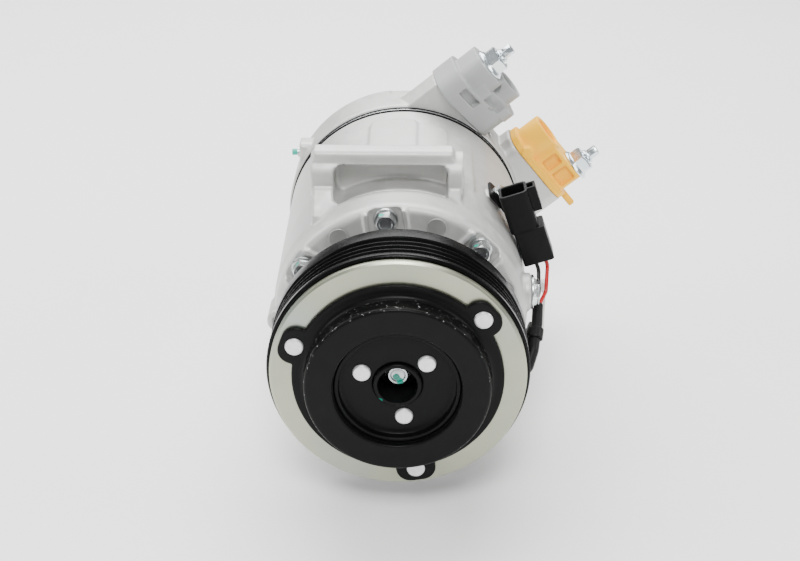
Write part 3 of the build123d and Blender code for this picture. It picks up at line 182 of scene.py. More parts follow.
# ---- cast, bead-blasted aluminium
def cast_mat(name, col, rough=0.5, metallic=0.55):
    m, nt, b = new_mat(name)
    co = coords(nt)
    big = noise(nt, co, 28, 4, 0.5)
    mid = noise(nt, co, 240, 4, 0.6)
    fine = noise(nt, co, 2600, 2, 0.5)
    c1 = ramp(nt, big, [(0.32, tuple(v * 0.94 for v in col)), (0.68, tuple(min(1, v * 1.04) for v in col))])
    c2 = ramp(nt, mid, [(0.35, (0.90, 0.90, 0.90)), (0.65, (1, 1, 1))])
    mul = nt.nodes.new("ShaderNodeMix"); mul.data_type = "RGBA"; mul.blend_type = "MULTIPLY"
    mul.inputs["Factor"].default_value = 0.7
    nt.links.new(c1, mul.inputs[6]); nt.links.new(c2, mul.inputs[7])
    nt.links.new(mul.outputs[2], b.inputs["Base Color"])
    b.inputs["Metallic"].default_value = metallic
    nt.links.new(maprange(nt, mid, 0.3, 0.7, rough - 0.06, rough + 0.08), b.inputs["Roughness"])
    b.inputs["Specular IOR Level"].default_value = 0.5
    h = math_n(nt, "ADD", math_n(nt, "MULTIPLY", fine, 0.35), mid)
    bump(nt, b, h, 0.35, 0.00012)
    return m


def zinc_plate():
    m, nt, b = new_mat("zinc_passivated")
    co = coords(nt)
    big = noise(nt, co, 14, 3, 0.5)
    mid = noise(nt, co, 70, 5, 0.6)
    c = ramp(nt, big, [(0.30, (0.330, 0.372, 0.345)), (0.46, (0.352, 0.368, 0.285)), (0.58, (0.392, 0.400, 0.310)), (0.75, (0.350, 0.378, 0.340))])
    c2 = ramp(nt, mid, [(0.3, (0.90, 0.90, 0.90)), (0.7, (1.0, 1.0, 1.0))])
    mul = nt.nodes.new("ShaderNodeMix"); mul.data_type = "RGBA"; mul.blend_type = "MULTIPLY"
    mul.inputs["Factor"].default_value = 0.8
    nt.links.new(c, mul.inputs[6]); nt.links.new(c2, mul.inputs[7])
    nt.links.new(mul.outputs[2], b.inputs["Base Color"])
    b.inputs["Metallic"].default_value = 0.82
    b.inputs["Specular IOR Level"].default_value = 0.5
    r = radius_y(nt, co)
    # faint turning marks round the axis
    w = nt.nodes.new("ShaderNodeTexNoise"); w.noise_dimensions = "1D"
    w.inputs["Scale"].default_value = 5200; w.inputs["Detail"].default_value = 2
    nt.links.new(r, w.inputs["W"])
    fine = noise(nt, co, 1800, 2)
    nt.links.new(maprange(nt, math_n(nt, "ADD", math_n(nt, "MULTIPLY", mid, 0.6), math_n(nt, "MULTIPLY", fine, 0.4)), 0.3, 0.7, 0.27, 0.40), b.inputs["Roughness"])
    bump(nt, b, math_n(nt, "ADD", math_n(nt, "MULTIPLY", w.outputs["Fac"], 0.3), fine), 0.10, 0.00004)
    return m


def black_coat(name="black_ecoat", gloss=0.34, base=0.0032, specks=True, spec=0.10, coat=0.0, daub=None):
    m, nt, b = new_mat(name)
    co = coords(nt)
    mid = noise(nt, co, 120, 5, 0.6)
    fine = noise(nt, co, 2200, 2, 0.5)
    c = ramp(nt, mid, [(0.3, (base * 0.8,) * 3), (0.7, (base * 1.35, base * 1.35, base * 1.4))])
    if specks:
        # bare-metal nicks where the coat is rubbed, near the rounded lip and its edges
        r = radius_y(nt, co)
        rim = maprange(nt, math_n(nt, "ABSOLUTE", math_n(nt, "SUBTRACT", r, 0.0381)), 0.0, 0.0007, 1.0, 0.0)
        sp = noise(nt, co, 900, 3, 0.7)
        thr = maprange(nt, math_n(nt, "MULTIPLY", math_n(nt, "GREATER_THAN", sp, 0.655), rim), 0, 1, 0, 1)
        c = mixc(nt, thr, c, (0.42, 0.42, 0.42))
    if daub:
        d = nt.nodes.new("ShaderNodeVectorMath"); d.operation = "DISTANCE"
        nt.links.new(co, d.inputs[0]); d.inputs[1].default_value = daub
        wob = noise(nt, co, 420, 3, 0.6)
        g = maprange(nt, math_n(nt, "ADD", d.outputs["Value"], math_n(nt, "MULTIPLY", wob, 0.0012)), 0.0016, 0.0019, 1.0, 0.0)
        c = mixc(nt, g, c, (0.0, 0.16, 0.11))
    nt.links.new(c, b.inputs["Base Color"])
    nt.links.new(maprange(nt, mid, 0.3, 0.7, gloss - 0.05, gloss + 0.09), b.inputs["Roughness"])
    b.inputs["Metallic"].default_value = 0.0
    b.inputs["Specular IOR Level"].default_value = spec
    b.inputs["Coat Weight"].default_value = coat
    b.inputs["Coat Roughness"].default_value = 0.12
    h = math_n(nt, "ADD", math_n(nt, "MULTIPLY", mid, 0.6), math_n(nt, "MULTIPLY", fine, 0.5))
    bump(nt, b, h, 0.16, 0.00006)
    return m


def rivet_mat():
    m, nt, b = new_mat("rivet_bright")
    co = coords(nt)
    v = nt.nodes.new("ShaderNodeTexVoronoi"); v.inputs["Scale"].default_value = 900
    nt.links.new(co, v.inputs["Vector"])
    mid = noise(nt, co, 500, 4, 0.7)
    c = ramp(nt, mid, [(0.3, (0.66, 0.66, 0.67)), (0.7, (0.90, 0.90, 0.90))])
    nt.links.new(c, b.inputs["Base Color"])
    b.inputs["Metallic"].default_value = 0.75
    nt.links.new(maprange(nt, mid, 0.3, 0.7, 0.34, 0.5), b.inputs["Roughness"])
    bump(nt, b, math_n(nt, "ADD", mid, v.outputs["Distance"]), 0.45, 0.00012)
    return m


def plastic(name, col, rough=0.45, sss=0.0, grain=700, gstr=0.12, coat=0.0, var=0.05, trans=0.0, spec=0.45):
    m, nt, b = new_mat(name)
    co = coords(nt)
    big = noise(nt, co, 35, 3)
    fine = noise(nt, co, grain, 3, 0.6)
    c = ramp(nt, big, [(0.3, tuple(v * (1 - var) for v in col)), (0.7, tuple(min(1, v * (1 + var)) for v in col))])
    nt.links.new(c, b.inputs["Base Color"])
    nt.links.new(maprange(nt, fine, 0.3, 0.7, rough - 0.05, rough + 0.07), b.inputs["Roughness"])
    b.inputs["Subsurface Weight"].default_value = sss
    b.inputs["Subsurface Radius"].default_value = (0.004, 0.003, 0.002)
    b.inputs["Subsurface Scale"].default_value = 0.35
    b.inputs["Coat Weight"].default_value = coat
    b.inputs["Transmission Weight"].default_value = trans
    b.inputs["Specular IOR Level"].default_value = spec
    bump(nt, b, fine, gstr, 0.0001)
    return m


def painted_bolt(name, col, rough, centers, axis, green=(0.0, 0.42, 0.30), size=0.0021, off=(0, 0, 0), seed=0.0):
    """Bright zinc with a daub of green marking paint at each of the given places."""
    m, nt, b = new_mat(name)
    co = coords(nt)
    n1 = noise(nt, co, 90, 4)
    n2 = noise(nt, co, 800, 3)
    c = ramp(nt, n1, [(0.3, tuple(v * 0.85 for v in col)), (0.7, tuple(min(1, v * 1.06) for v in col))])
    wob = noise(nt, co, 420, 3, 0.6)
    total = None
    for p in centers:
        d = nt.nodes.new("ShaderNodeVectorMath"); d.operation = "DISTANCE"
        nt.links.new(co, d.inputs[0]); d.inputs[1].default_value = p
        g = maprange(nt, math_n(nt, "ADD", d.outputs["Value"], math_n(nt, "MULTIPLY", wob, 0.0016)), size + 0.0008, size + 0.00105, 1.0, 0.0)
        total = g if total is None else math_n(nt, "MAXIMUM", total, g)
    if total is not None:
        c = mixc(nt, total, c, green)
        b_m = math_n(nt, "SUBTRACT", 1.0, total)
        nt.links.new(b_m, b.inputs["Metallic"])
    else:
        b.inputs["Metallic"].default_value = 1.0
    nt.links.new(c, b.inputs["Base Color"])
    nt.links.new(maprange(nt, n2, 0.3, 0.7, rough - 0.05, rough + 0.08), b.inputs["Roughness"])
    bump(nt, b, n2, 0.18, 0.00006)
    return m


# =============================================================== mesh helpers
def obj_from_bm(name, bm, mat, smooth=True, angle=40):
    me = bpy.data.meshes.new(name)
    bmesh.ops.remove_doubles(bm, verts=bm.verts, dist=1e-7)
    bmesh.ops.recalc_face_normals(bm, faces=bm.faces)
    bm.to_mesh(me)
    bm.free()
    o = bpy.data.objects.new(name, me)
    bpy.context.scene.collection.objects.link(o)
    o.data.materials.append(mat)
    if smooth:
        for p in me.polygons:
            p.use_smooth = True
        me.set_sharp_from_angle(angle=math.radians(angle))
    return o


def round_profile(pts, segs=4):
    """pts: closed (r, y, fillet) list in mm -> list of (r, y) with the corners rounded."""
    out = []
    n = len(pts)
    for i in range(n):
        r, y, f = pts[i] if len(pts[i]) == 3 else (*pts[i], 0.0)
        p = np.array([r, y], float)
        a = np.array(pts[i - 1][:2], float) - p
        b = np.array(pts[(i + 1) % n][:2], float) - p
        la, lb = np.linalg.norm(a), np.linalg.norm(b)
        if f <= 0 or la < 1e-9 or lb < 1e-9:
            out.append(tuple(p)); continue
        a, b = a / la, b / lb
        cosang = float(np.clip(a @ b, -1, 1))
        half = math.acos(cosang) / 2
        if half > math.pi / 2 - 0.02:
            out.append(tuple(p)); continue
        t = min(f / math.tan(half), 0.49 * la, 0.49 * lb)
        rr = t * math.tan(half)
        bis = (a + b) / np.linalg.norm(a + b)
        c = p + bis * (rr / math.sin(half))
        s, e = p + a * t, p + b * t
        a0 = math.atan2(*(s - c)[::-1]); a1 = math.atan2(*(e - c)[::-1])
        d = (a1 - a0 + math.pi) % (2 * math.pi) - math.pi
        k = max(2, segs)
        for j in range(k + 1):
            ang = a0 + d * j / k
            out.append((c[0] + rr * math.cos(ang), c[1] + rr * math.sin(ang)))
    return out


def lathe(name, pts, mat, segs=192, closed=True, round_segs=4, a0=0.0, angle=35):
    """Turns a closed (r, y[, fillet]) outline in mm about the shaft axis."""
    prof = round_profile(pts, round_segs)
    bm = bmesh.new()
    rings = []
    for r, y in prof:
        ring = []
        if r < 1e-6:
            v = bm.verts.new((0, y * MM, 0))
            ring = [v] * segs
        else:
            for k in range(segs):
                t = 2 * math.pi * k / segs + a0
                ring.append(bm.verts.new((r * MM * math.sin(t), y * MM, r * MM * math.cos(t))))
        rings.append(ring)
    m = len(rings)
    for i in range(m if closed else m - 1):
        A, B = rings[i], rings[(i + 1) % m]
        for k in range(segs):
            k2 = (k + 1) % segs
            vs = [A[k], A[k2], B[k2], B[k]]
            u = []
            for v in vs:
                if v not in u:
                    u.append(v)
            if len(u) >= 3:
                try:
                    bm.faces.new(u)
                except ValueError:
                    pass
    return obj_from_bm(name, bm, mat, angle=angle)


def prism(bm, outline, z0, z1, M, bevel=0.0, bsegs=2):
    """A closed prism from a 2-D outline (mm, local x y) between local z0 and z1, placed by M (metres)."""
    tmp = bmesh.new()
    bot = [tmp.verts.new((x, y, z0)) for x, y in outline]
    top = [tmp.verts.new((x, y, z1)) for x, y in outline]
    n = len(outline)
    tmp.faces.new(bot[::-1]); tmp.faces.new(top)
    for i in range(n):
        tmp.faces.new([bot[i], bot[(i + 1) % n], top[(i + 1) % n], top[i]])
    bmesh.ops.recalc_face_normals(tmp, faces=tmp.faces)
    if bevel > 0:
        es = [e for e in tmp.edges if e.calc_face_angle(0) > math.radians(30)]
        bmesh.ops.bevel(tmp, geom=es, offset=bevel, segments=bsegs, profile=0.5, affect="EDGES", clamp_overlap=True)
    add_bm(bm, tmp, M)


def add_bm(bm, tmp, M):
    """Adds tmp (mm, local) to bm through the metre matrix M."""
    vmap = {}
    for v in tmp.verts:
        vmap[v] = bm.verts.new(M @ (Vector(v.co) * MM))
    for f in tmp.faces:
        try:
            bm.faces.new([vmap[v] for v in f.verts])
        except ValueError:
            pass
    tmp.free()


def rev_local(bm, prof, M, segs=48, closed=False, round_segs=3):
    """Turned body about the local z axis: prof is (r, z[, fillet]) in mm; ends at r = 0 close it."""
    pr = round_profile(prof, round_segs)
    tmp = bmesh.new()
    rings = []
    for r, z in pr:
        if r < 1e-6:
            v = tmp.verts.new((0, 0, z)); rings.append([v] * segs)
        else:
            rings.append([tmp.verts.new((r * math.cos(2 * math.pi * k / segs), r * math.sin(2 * math.pi * k / segs), z)) for k in range(segs)])
    m = len(rings)
    for i in range(m if closed else m - 1):
        A, B = rings[i], rings[(i + 1) % m]
        for k in range(segs):
            u = []
            for v in (A[k], A[(k + 1) % segs], B[(k + 1) % segs], B[k]):
                if v not in u:
                    u.append(v)
            if len(u) >= 3:
                try:
                    tmp.faces.new(u)
                except ValueError:
                    pass
    bmesh.ops.recalc_face_normals(tmp, faces=tmp.faces)
    add_bm(bm, tmp, M)


def axes(origin, x, z):
    """Matrix whose local z is z, local x near x; origin in mm."""
    z = Vector(z).normalized()
    x = (Vector(x) - z * Vector(x).dot(z)).normalized()
    y = z.cross(x)
    M = Matrix(((x.x, y.x, z.x, origin[0] * MM), (x.y, y.y, z.y, origin[1] * MM), (x.z, y.z, z.z, origin[2] * MM), (0, 0, 0, 1)))
    return M


def front_at(x, y, z, spin=0.0):
    """Local z looks forward (-Y)."""
    a = math.radians(spin)
    return axes((x, y, z), (math.cos(a), 0, math.sin(a)), (0, -1, 0))


def rxz(r, phi):
    a = math.radians(phi)
    return r * math.sin(a), r * math.cos(a)


def hexagon(af, chamf=0):
    R = af / math.sqrt(3)
    return [(R * math.cos(math.radians(60 * k + 30)), R * math.sin(math.radians(60 * k + 30))) for k in range(6)]


def hex_head(bm, M, af, z0, z1, dish=0.0, top_r=None, segs=8):
    """Hexagon head with a turned chamfer on its top corners and a dished top."""
    R = af / math.sqrt(3)
    ap = af / 2
    n = 6 * segs
    tmp = bmesh.new()

    def hex_r(t):
        a = (t - math.radians(0)) % math.radians(60)
        return ap / math.cos(a - math.radians(30))
    angs = [2 * math.pi * k / n for k in range(n)]
    top_r = top_r or ap * 0.94
    rings = [[(hex_r(t), z0) for t in angs]]
    # the chamfer cone cuts the corners: height falls with distance beyond the flats
    slope = math.tan(math.radians(30))
    rings.append([(hex_r(t), z1 - max(0.12, (hex_r(t) - top_r) * slope)) for t in angs])
    rings.append([(min(hex_r(t), top_r), z1) for t in angs])
    rings.append([(top_r * 0.80, z1 - 0.02) for t in angs])
    if dish:
        rings.append([(top_r * 0.70, z1 - dish * 0.75) for t in angs])
        rings.append([(top_r * 0.42, z1 - dish) for t in angs])
    vr = [[tmp.verts.new((r * math.cos(t), r * math.sin(t), z)) for (r, z), t in zip(ring, angs)] for ring in rings]
    for A, B in zip(vr[:-1], vr[1:]):
        for k in range(n):
            tmp.faces.new([A[k], A[(k + 1) % n], B[(k + 1) % n], B[k]])
    tmp.faces.new(vr[-1]); tmp.faces.new(vr[0][::-1])
    bmesh.ops.recalc_face_normals(tmp, faces=tmp.faces)
    add_bm(bm, tmp, M)


def take(obj, node):
    """obj stands for the CAD node and rides on the node's body; the CAD node is hidden."""
    body = next(b for b, ns in frame["record"]["behaviour"]["bodies"].items() if node in ns)
    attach(obj, body)
    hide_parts(node)
    return obj


# =============================================================== materials
M_ZINC = zinc_plate()
M_BLACK = black_coat()
M_BLACK2 = black_coat("black_hub", 0.38, 0.0032, specks=False)
M_PULLEY = black_coat("pulley_gloss", 0.24, 0.0022, specks=False, spec=0.085)
M_HUB = black_coat("black_hub_marked", 0.38, 0.0032, specks=False, daub=(-0.0072, -0.0060, -0.0069))
# near-black bracket coat: a dark bracket, and also painted shade standing in for the shadow that falls beside the
# connector
M_BRACKET_BLACK_SHADE = black_coat("bracket_black_painted_shade", 0.42, 0.0040, specks=False, spec=0.10)
M_RIVET = rivet_mat()
M_CAST = cast_mat("cast_aluminium", (0.58, 0.58, 0.565))
M_CAST_R = cast_mat("cast_aluminium_rear", (0.56, 0.56, 0.545), rough=0.46)
M_STEEL = metal("ground_steel", (0.62, 0.63, 0.64), 0.25)
M_DARK = metal("phosphated_steel", (0.045, 0.045, 0.05), 0.45, var=0.015, metallic=0.6)
M_RUBBER = plastic("rubber", (0.003, 0.003, 0.003), 0.6, spec=0.12)
M_COIL = plastic("coil_resin", (0.03, 0.03, 0.03), 0.5)
M_BRASS = metal("brass", (0.70, 0.55, 0.28), 0.28)
M_BRIGHT = metal("bright_zinc", (0.74, 0.76, 0.77), 0.26)
M_IRON = metal("swash_iron", (0.36, 0.36, 0.36), 0.35)
M_GASKET = plastic("gasket_black", (0.004, 0.004, 0.004), 0.55, spec=0.15)
M_NYLON = plastic("connector_nylon", (0.0040, 0.0040, 0.0042), 0.42, grain=1500, gstr=0.2, spec=0.12)
M_RED = plastic("red_insulation", (0.48, 0.005, 0.007), 0.3, coat=0.2)
M_BLK = plastic("black_insulation", (0.004, 0.004, 0.004), 0.35, spec=0.25)
M_SLEEVE = plastic("sleeve_black", (0.004, 0.004, 0.004), 0.42, spec=0.2)
M_TIE = plastic("natural_nylon", (0.80, 0.83, 0.80), 0.35, sss=0.3, trans=0.0)
M_TIN = metal("tinned", (0.72, 0.72, 0.70), 0.3)

M_DISC = cast_mat("cast_aluminium_machined", (0.40, 0.40, 0.39), rough=0.42)
M_SCREW = painted_bolt("small_screw_zinc", (0.60, 0.62, 0.62), 0.3, [(-0.0590, 0.171, 0.031)], None, green=(0.0, 0.40, 0.30), size=0.0034)
SLOT_MATS = {
    "zinc_plate": M_ZINC, "black_coat": M_BLACK, "rubber": M_RUBBER, "rivet_steel": M_RIVET, "bright_zinc": M_BRIGHT,
    "pulley_paint": M_PULLEY, "bearing_steel": M_STEEL, "dark_steel": M_DARK, "coil_resin": M_COIL, "cast_aluminium": M_CAST,
    "cast_aluminium_rear": M_CAST_R, "bolt_steel": M_BRIGHT, "gasket_black": M_GASKET, "brass": M_BRASS, "blue_zinc": M_BRIGHT,
    "grey_plastic": None, "yellow_plastic": None, "swash_iron": M_IRON, "black_plastic": M_NYLON, "tinned_brass": M_TIN,
    "red_insulation": M_RED, "black_insulation": M_BLK, "sleeve_black": M_SLEEVE, "clear_nylon": M_TIE,
}
M_GREY = plastic("grey_polyethylene", (0.36, 0.37, 0.365), 0.42, sss=0.15, grain=500)
M_YELLOW = plastic("yellow_polyethylene", (1.0, 0.51, 0.012), 0.42, sss=0.0, grain=500, var=0.02, spec=0.25)
M_BLUEZINC = metal("blue_white_zinc", (0.70, 0.78, 0.84), 0.22, tint=(0.80, 0.84, 0.84))
SLOT_MATS["grey_plastic"], SLOT_MATS["yellow_plastic"], SLOT_MATS["blue_zinc"] = M_GREY, M_YELLOW, M_BLUEZINC
for s in frame["record"]["subparts"]:
    o = NODES[s["node"]]
    o.data.materials.clear()
    o.data.materials.append(SLOT_MATS[s["material_slot"]])
    for p in o.data.polygons:
        p.use_smooth = True
    o.data.set_sharp_from_angle(angle=math.radians(32))


# =============================================================== pieces
def bake(o):
    """Applies the modifiers of o to its mesh."""
    deps = bpy.context.evaluated_depsgraph_get()
    me = bpy.data.meshes.new_from_object(o.evaluated_get(deps))
    o.modifiers.clear()
    o.data = me
    return o


def skin(node, voxel, iters=3, factor=0.5, mat=None, angle=50):
    """A cast or moulded skin over a CAD node: the same shape with rounded edges, at a fine even mesh."""
    me = NODES[node].data.copy()
    o = bpy.data.objects.new(node + "_skin", me)
    bpy.context.scene.collection.objects.link(o)
    r = o.modifiers.new("remesh", "REMESH")
    r.mode = "VOXEL"
    r.voxel_size = voxel * MM
    if iters:
        sm = o.modifiers.new("smooth", "SMOOTH")
        sm.factor = factor
        sm.iterations = iters
    bake(o)
    o.data.materials.clear()
    o.data.materials.append(mat or SLOT_MATS[next(q["material_slot"] for q in frame["record"]["subparts"] if q["node"] == node)])
    for q in o.data.polygons:
        q.use_smooth = True
    return take(o, node)


def thread(bm, M, r, pitch, z0, z1, depth=0.45, segs=40, chamfer=0.5):
    """A rod with a rolled screw thread, closed at both ends."""
    tmp = bmesh.new()
    n = int((z1 - z0) / pitch * 6)
    rows = []
    for i in range(n + 1):
        z = z0 + (z1 - z0) * i / n
        row = []
        for k in range(segs):
            t = 2 * math.pi * k / segs
            ph = ((z - z0) / pitch - k / segs) % 1.0
            tri = abs(ph - 0.5) * 2
            rr = r - depth * (1 - min(1.0, max(0.0, (tri - 0.08) / 0.84)))
            e = min(z - z0, z1 - z)
            if e < chamfer:
                rr = min(rr, r - (chamfer - e) * 0.9)
            row.append(tmp.verts.new((rr * math.cos(t), rr * math.sin(t), z)))
        rows.append(row)
    for A, B in zip(rows[:-1], rows[1:]):
        for k in range(segs):
            tmp.faces.new([A[k], A[(k + 1) % segs], B[(k + 1) % segs], B[k]])
    tmp.faces.new(rows[-1])
    tmp.faces.new(rows[0][::-1])
    bmesh.ops.recalc_face_normals(tmp, faces=tmp.faces)
    add_bm(bm, tmp, M)


def port_frame(n, t, y, rot):
    a39 = math.radians(39.5)
    PN = Vector((math.cos(a39), 0, math.sin(a39)))
    PT = Vector((PN.z, 0, -PN.x))
    o = PN * n + PT * t
    a = math.radians(rot)
    x = PT * math.cos(a) + Vector((0, 1, 0)) * math.sin(a)
    return axes((o.x, y, o.z), x, PN)


UP = port_frame(58, -27, 171, 20)
LO = port_frame(67, 25, 176, 0)
UP_STUD, LO_STUD = (-7.8, 0.0), (14.0, 0.0)
CAP_UP_H, CAP_LO_H = 24.4, 15.6


def shift(M, x=0.0, y=0.0, z=0.0):
    return M @ Matrix.Translation(Vector((x, y, z)) * MM)


def spots(r, a0, n, y):
    out = []
    for k in range(n):
        x, z = rxz(r, a0 + 360.0 / n * k)
        out.append((x * MM, y * MM, z * MM))
    return out


# ---- friction plate: turned ring with a broken bright edge
plate = lathe("friction_plate", [(31.0, 0.0, 0.2), (52.55, 0.0, 0.15), (53.5, 0.75, 0.15), (53.5, 2.9, 0.25), (31.0, 2.9, 0.2)], M_ZINC, segs=256, angle=30)
take(plate, "armature_plate")

# ---- pulley: turned rim with rounded rib tips, and its slotted web
R = 55.0
pts = [(27.5, 7.0, 0.3), (27.5, 28.0, 0.3), (30.4, 28.0, 0.4), (30.4, 9.2, 1.0), (49.8, 9.2, 1.2), (49.8, 27.9, 0.2), (50.3, 28.4, 0.2), (54.2, 28.4, 0.3), (R, 27.6, 0.3), (R, 20.6, 0.2)]
y = 6.1 + 3 * 3.56
for k in range(4):
    top_r = R if k == 0 else R - 0.35
    if k > 0:
        pts.append((R - 0.35, y + 3.56 - 0.25, 0.18))
    else:
        pts.append((R - 0.35, y + 3.56 - 0.25, 0.12))
    pts += [(R - 3.0, y + 3.56 - 1.28, 0.22), (R - 3.0, y + 1.28, 0.22)]
    if k < 3:
        pts.append((R - 0.35, y + 0.25, 0.18))
    y -= 3.56
pts += [(R, 6.1, 0.15), (R, 4.1, 0.3), (54.3, 3.4, 0.3), (30.5, 3.4, 0.3), (30.0, 5.6, 0.3), (26.0, 5.6, 0.2), (26.0, 7.0, 0.2)]
rim = lathe("pulley_rim", pts, M_PULLEY, segs=256, round_segs=3, angle=32)
cut = bmesh.new()
for k in range(6):
    for rad, a_mid, wd in ((37.2, 60 * k + 30, 2.4), (45.6, 60 * k + 60, 2.2)):
        outline = []
        hw = wd / 2
        for j in range(13):
            a = math.radians(a_mid - 25 + 50 * j / 12)
            outline.append(((rad + hw) * math.cos(a), (rad + hw) * math.sin(a)))
        for j in range(13):
            a = math.radians(a_mid + 25 - 50 * j / 12)
            outline.append(((rad - hw) * math.cos(a), (rad - hw) * math.sin(a)))
        prism(cut, outline, 0.0, 9.0, front_at(0, 10.8, 0))
cutter = obj_from_bm("slot_cutter", cut, M_PULLEY, smooth=False)
bo = rim.modifiers.new("slots", "BOOLEAN")
bo.operation = "DIFFERENCE"
bo.object = cutter
bo.solver = "EXACT"
bake(rim)
bpy.data.objects.remove(cutter)
for q in rim.data.polygons:
    q.use_smooth = True
rim.data.set_sharp_from_angle(angle=math.radians(32))
take(rim, "pulley")

# ---- damper cup, hub and inner plate: drawn and coated steel
skin("damper_cup", 0.34, 4)
skin("inner_plate", 0.30, 3, mat=M_BLACK2)
skin("drive_hub", 0.30, 3, mat=M_HUB)

# ---- rivets
bm = bmesh.new()
for k in range(3):
    x, z = rxz(44.93, RIVET_ANG + 120 * k)
    rev_local(bm, [(0, -0.02), (0, 0.82), (2.55, 0.78), (2.9, 0.86, 0.1), (3.55, 0.74, 0.15), (3.86, 0.30, 0.2), (3.9, 0.02), (2.5, 0.0), (2.5, -4.7, 0.3), (0, -4.8)][1:], front_at(x, -2.0, z), segs=56)
take(obj_from_bm("outer_rivet_heads", bm, M_RIVET, angle=45), "outer_rivets")
bm = bmesh.new()
for k in range(3):
    x, z = rxz(15.62, RIVET_ANG + 120 * k)
    rev_local(bm, [(0, 1.24), (2.45, 1.20), (2.85, 1.28, 0.1), (3.4, 1.12, 0.15), (3.78, 0.55, 0.2), (3.84, 0.03), (2.5, 0.0), (2.5, -5.4), (3.3, -5.45, 0.1), (3.1, -6.2, 0.2), (0, -6.25)], front_at(x, -5.0, z), segs=56)
take(obj_from_bm("inner_rivet_heads", bm, M_RIVET, angle=45), "inner_rivets")

# ---- shaft bolt with its green daub
M_SBOLT = painted_bolt("shaft_bolt_zinc", (0.50, 0.52, 0.53), 0.26, [(-0.0007, 0.0018, -0.0010), (0.0008, 0.0018, -0.0030)], None, size=0.0014)
bm = bmesh.new()
M = front_at(0, 6.8, 0, 12)
rev_local(bm, [(0, -16.0), (2.7, -16.0, 0.2), (3.0, -15.6), (3.0, 0.0), (5.9, 0.0, 0.15), (5.95, 0.7, 0.25), (4.6, 0.95), (0, 0.95)], M, segs=64)
hex_head(bm, M, 8.4, 0.9, 5.2, dish=0.9)
take(obj_from_bm("shaft_bolt_head", bm, M_SBOLT, angle=30), "shaft_bolt")

# ---- through bolts: flanged hexagon heads with a dished top and a green daub
daubs = []
for k in range(7):
    a = math.radians(BOLT_ANG + BOLT_STEP * k)
    x, z = 49.75 * math.sin(a), 49.75 * math.cos(a)
    daubs.append(((x - 1.9) * MM, 45.2 * MM, (z + 3.1) * MM))
M_TBOLT = painted_bolt("through_bolt_zinc", (0.56, 0.58, 0.58), 0.30, daubs, None, size=0.0011)
bm = bmesh.new()
for k in range(7):
    a = BOLT_ANG + BOLT_STEP * k
    x, z = rxz(49.75, a)
    M = front_at(x, 49.15, z, 17 * k + 8)
    rev_local(bm, [(0, -133.85), (2.6, -133.85, 0.3), (3.0, -133.3), (3.0, 0.0), (5.35, 0.0, 0.1), (5.4, 0.35, 0.2), (5.1, 1.15, 0.3), (4.2, 1.5), (0, 1.5)], M, segs=56)
    hex_head(bm, M, 7.9, 1.2, 5.95, dish=1.15)
take(obj_from_bm("through_bolt_heads", bm, M_TBOLT, angle=30), "through_bolts")

# ---- port studs with rolled threads, flange nuts
bm = bmesh.new()
for PM, at, h, root in ((UP, UP_STUD, CAP_UP_H, 12.0), (LO, LO_STUD, CAP_LO_H, 13.0)):
    M = shift(PM, at[0], at[1], 0)
    thread(bm, M, 3.93, 1.25, -root + 0.02, h + 9.3, depth=0.55)
    hexo = [(2.8 * math.cos(math.radians(60 * k + 30)), 2.8 * math.sin(math.radians(60 * k + 30))) for k in range(6)]
    prism(bm, hexo, h + 9.0, h + 14.6, M, bevel=0.25)
take(obj_from_bm("threaded_studs", bm, M_BLUEZINC, angle=35), "port_studs")
bm = bmesh.new()
for PM, at, h in ((UP, UP_STUD, CAP_UP_H), (LO, LO_STUD, CAP_LO_H)):
    M = shift(PM, at[0], at[1], h)
    tmp = bmesh.new()
    n = 48
    ap = 6.15
    rows = []

    def hexr(t):
        return ap / math.cos((t % math.radians(60)) - math.radians(30))
    angs = [2 * math.pi * k / n for k in range(n)]
    rows.append([(4.05, 0.0) for t in angs])
    rows.append([(8.3, 0.0) for t in angs])
    rows.append([(8.58, 0.25) for t in angs])
    rows.append([(8.58, 0.85) for t in angs])
    rows.append([(8.2, 1.25) for t in angs])
    rows.append([(max(hexr(t) + 0.05, 7.2), 2.0) for t in angs])
    rows.append([(hexr(t), 2.3) for t in angs])
    rows.append([(hexr(t), 7.55 - max(0.1, (hexr(t) - 5.7) * 0.55)) for t in angs])
    rows.append([(5.7, 7.58) for t in angs])
    rows.append([(4.55, 7.58) for t in angs])
    rows.append([(4.05, 7.1) for t in angs])
    vr = [[tmp.verts.new((r * math.cos(t), r * math.sin(t), z)) for (r, z), t in zip(row, angs)] for row in rows]
    for A, B in zip(vr, vr[1:] + vr[:1]):
        for k in range(n):
            tmp.faces.new([A[k], A[(k + 1) % n], B[(k + 1) % n], B[k]])
    bmesh.ops.recalc_face_normals(tmp, faces=tmp.faces)
    add_bm(bm, tmp, M)
take(obj_from_bm("flanged_nuts", bm, M_BLUEZINC, angle=30), "flange_nuts")

# ---- moulded caps, connector, cast housings
skin("suction_port_cap", 0.36, 4)
skin("discharge_port_cap", 0.36, 4)
skin("connector", 0.26, 3)
# the bracket is skinned near-black; its black also paints the shadow beside the connector
skin("connector_bracket", 0.35, 2, mat=M_BRACKET_BLACK_SHADE)
H_VOX = 0.72
skin("front_housing", H_VOX, 3)
skin("rear_housing", H_VOX, 3)
skin("lead_sleeve", 0.3, 2)
skin("oil_plug", 0.3, 2)
skin("lead_clamp", 0.28, 2, mat=M_SLEEVE)
skin("cable_tie", 0.22, 2)

# ---- blind faces between the bolts
bm = bmesh.new()
for k in range(7):
    x, z = rxz(48.96, BOLT_ANG + BOLT_STEP * (k + 0.5))
    rev_local(bm, [(0, 0.0), (4.35, 0.0), (4.35, 0.55, 0.2), (3.9, 0.62, 0.1), (3.7, 0.50, 0.1), (0, 0.50)], front_at(x, 47.3, z), segs=48)
discs = obj_from_bm("face_discs", bm, M_DISC, angle=40)
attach(discs, "housing")

# ---- small screws: the bleed screw's tip is dipped in green
NODES["small_screws"].data.materials.clear()
NODES["small_screws"].data.materials.append(M_SCREW)


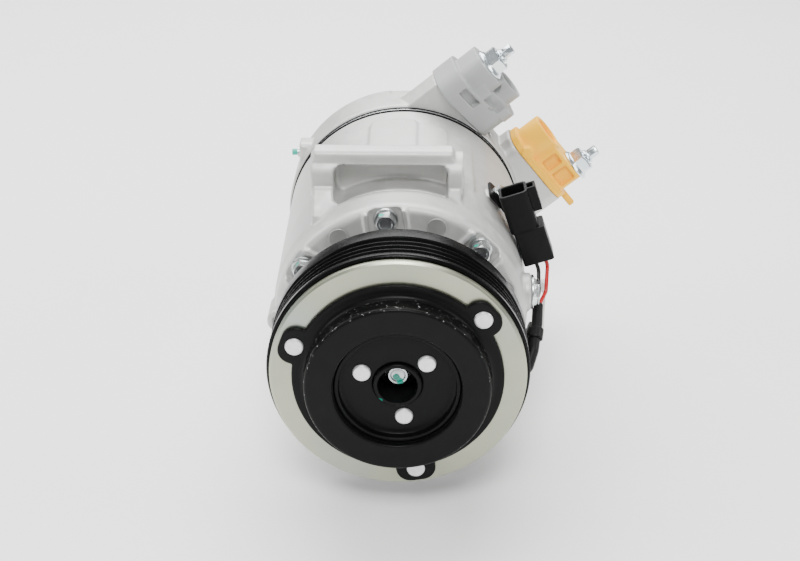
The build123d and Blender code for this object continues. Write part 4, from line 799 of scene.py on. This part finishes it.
# =============================================================== stage, light, camera
lo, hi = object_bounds()
floor_z = lo[2] - 0.0006
bm = bmesh.new()
S = 3.0
vs = [bm.verts.new((x, y, floor_z)) for x, y in ((-S, -S), (S, -S), (S, S), (-S, S))]
bm.faces.new(vs)
mf, nt, b = new_mat("pale_floor")
co = coords(nt)
nt.links.new(ramp(nt, noise(nt, co, 3, 3), [(0.3, (0.93, 0.93, 0.93)), (0.7, (0.96, 0.96, 0.96))]), b.inputs["Base Color"])
b.inputs["Roughness"].default_value = 0.75
floor = obj_from_bm("floor", bm, mf, smooth=False)

world = bpy.data.worlds.new("studio")
bpy.context.scene.world = world
world.use_nodes = True
bg = world.node_tree.nodes["Background"]
bg.inputs[0].default_value = (1.0, 1.0, 1.0, 1)
bg.inputs[1].default_value = 0.40


def area(name, loc, target, size, power, size_y=None, color=(1, 1, 1)):
    l = bpy.data.lights.new(name, "AREA")
    l.energy = power
    l.color = color
    l.shape = "RECTANGLE"
    l.size = size
    l.size_y = size_y or size
    o = bpy.data.objects.new(name, l)
    bpy.context.scene.collection.objects.link(o)
    o.location = loc
    d = Vector(target) - Vector(loc)
    o.rotation_euler = d.to_track_quat("-Z", "Y").to_euler()
    return o


area("top_soft", (-0.10, 0.75, 1.00), (0, 0.08, 0), 1.3, 38.0)
area("left_soft", (-1.0, 0.10, 0.60), (0, 0.05, 0.02), 0.5, 6.0)
area("right_soft", (0.95, 0.0, 0.55), (0, 0.05, 0.02), 0.4, 4.0)
area("front_high", (0.0, -0.72, 1.00), (0, 0.06, 0.05), 0.40, 15.0)

cam_d = bpy.data.cameras.new("camera")
cam = bpy.data.objects.new("camera", cam_d)
bpy.context.scene.collection.objects.link(cam)
cam_d.sensor_width = 36.0
cam_d.lens = 58.34
cam.location = (10.385 * MM, -456.632 * MM, 283.887 * MM)
fwd = Vector((-0.0184202, 0.88619674, -0.46294279))
cam.rotation_euler = fwd.to_track_quat("-Z", "Y").to_euler()
cam_d.clip_start = 0.01
bpy.context.scene.camera = cam
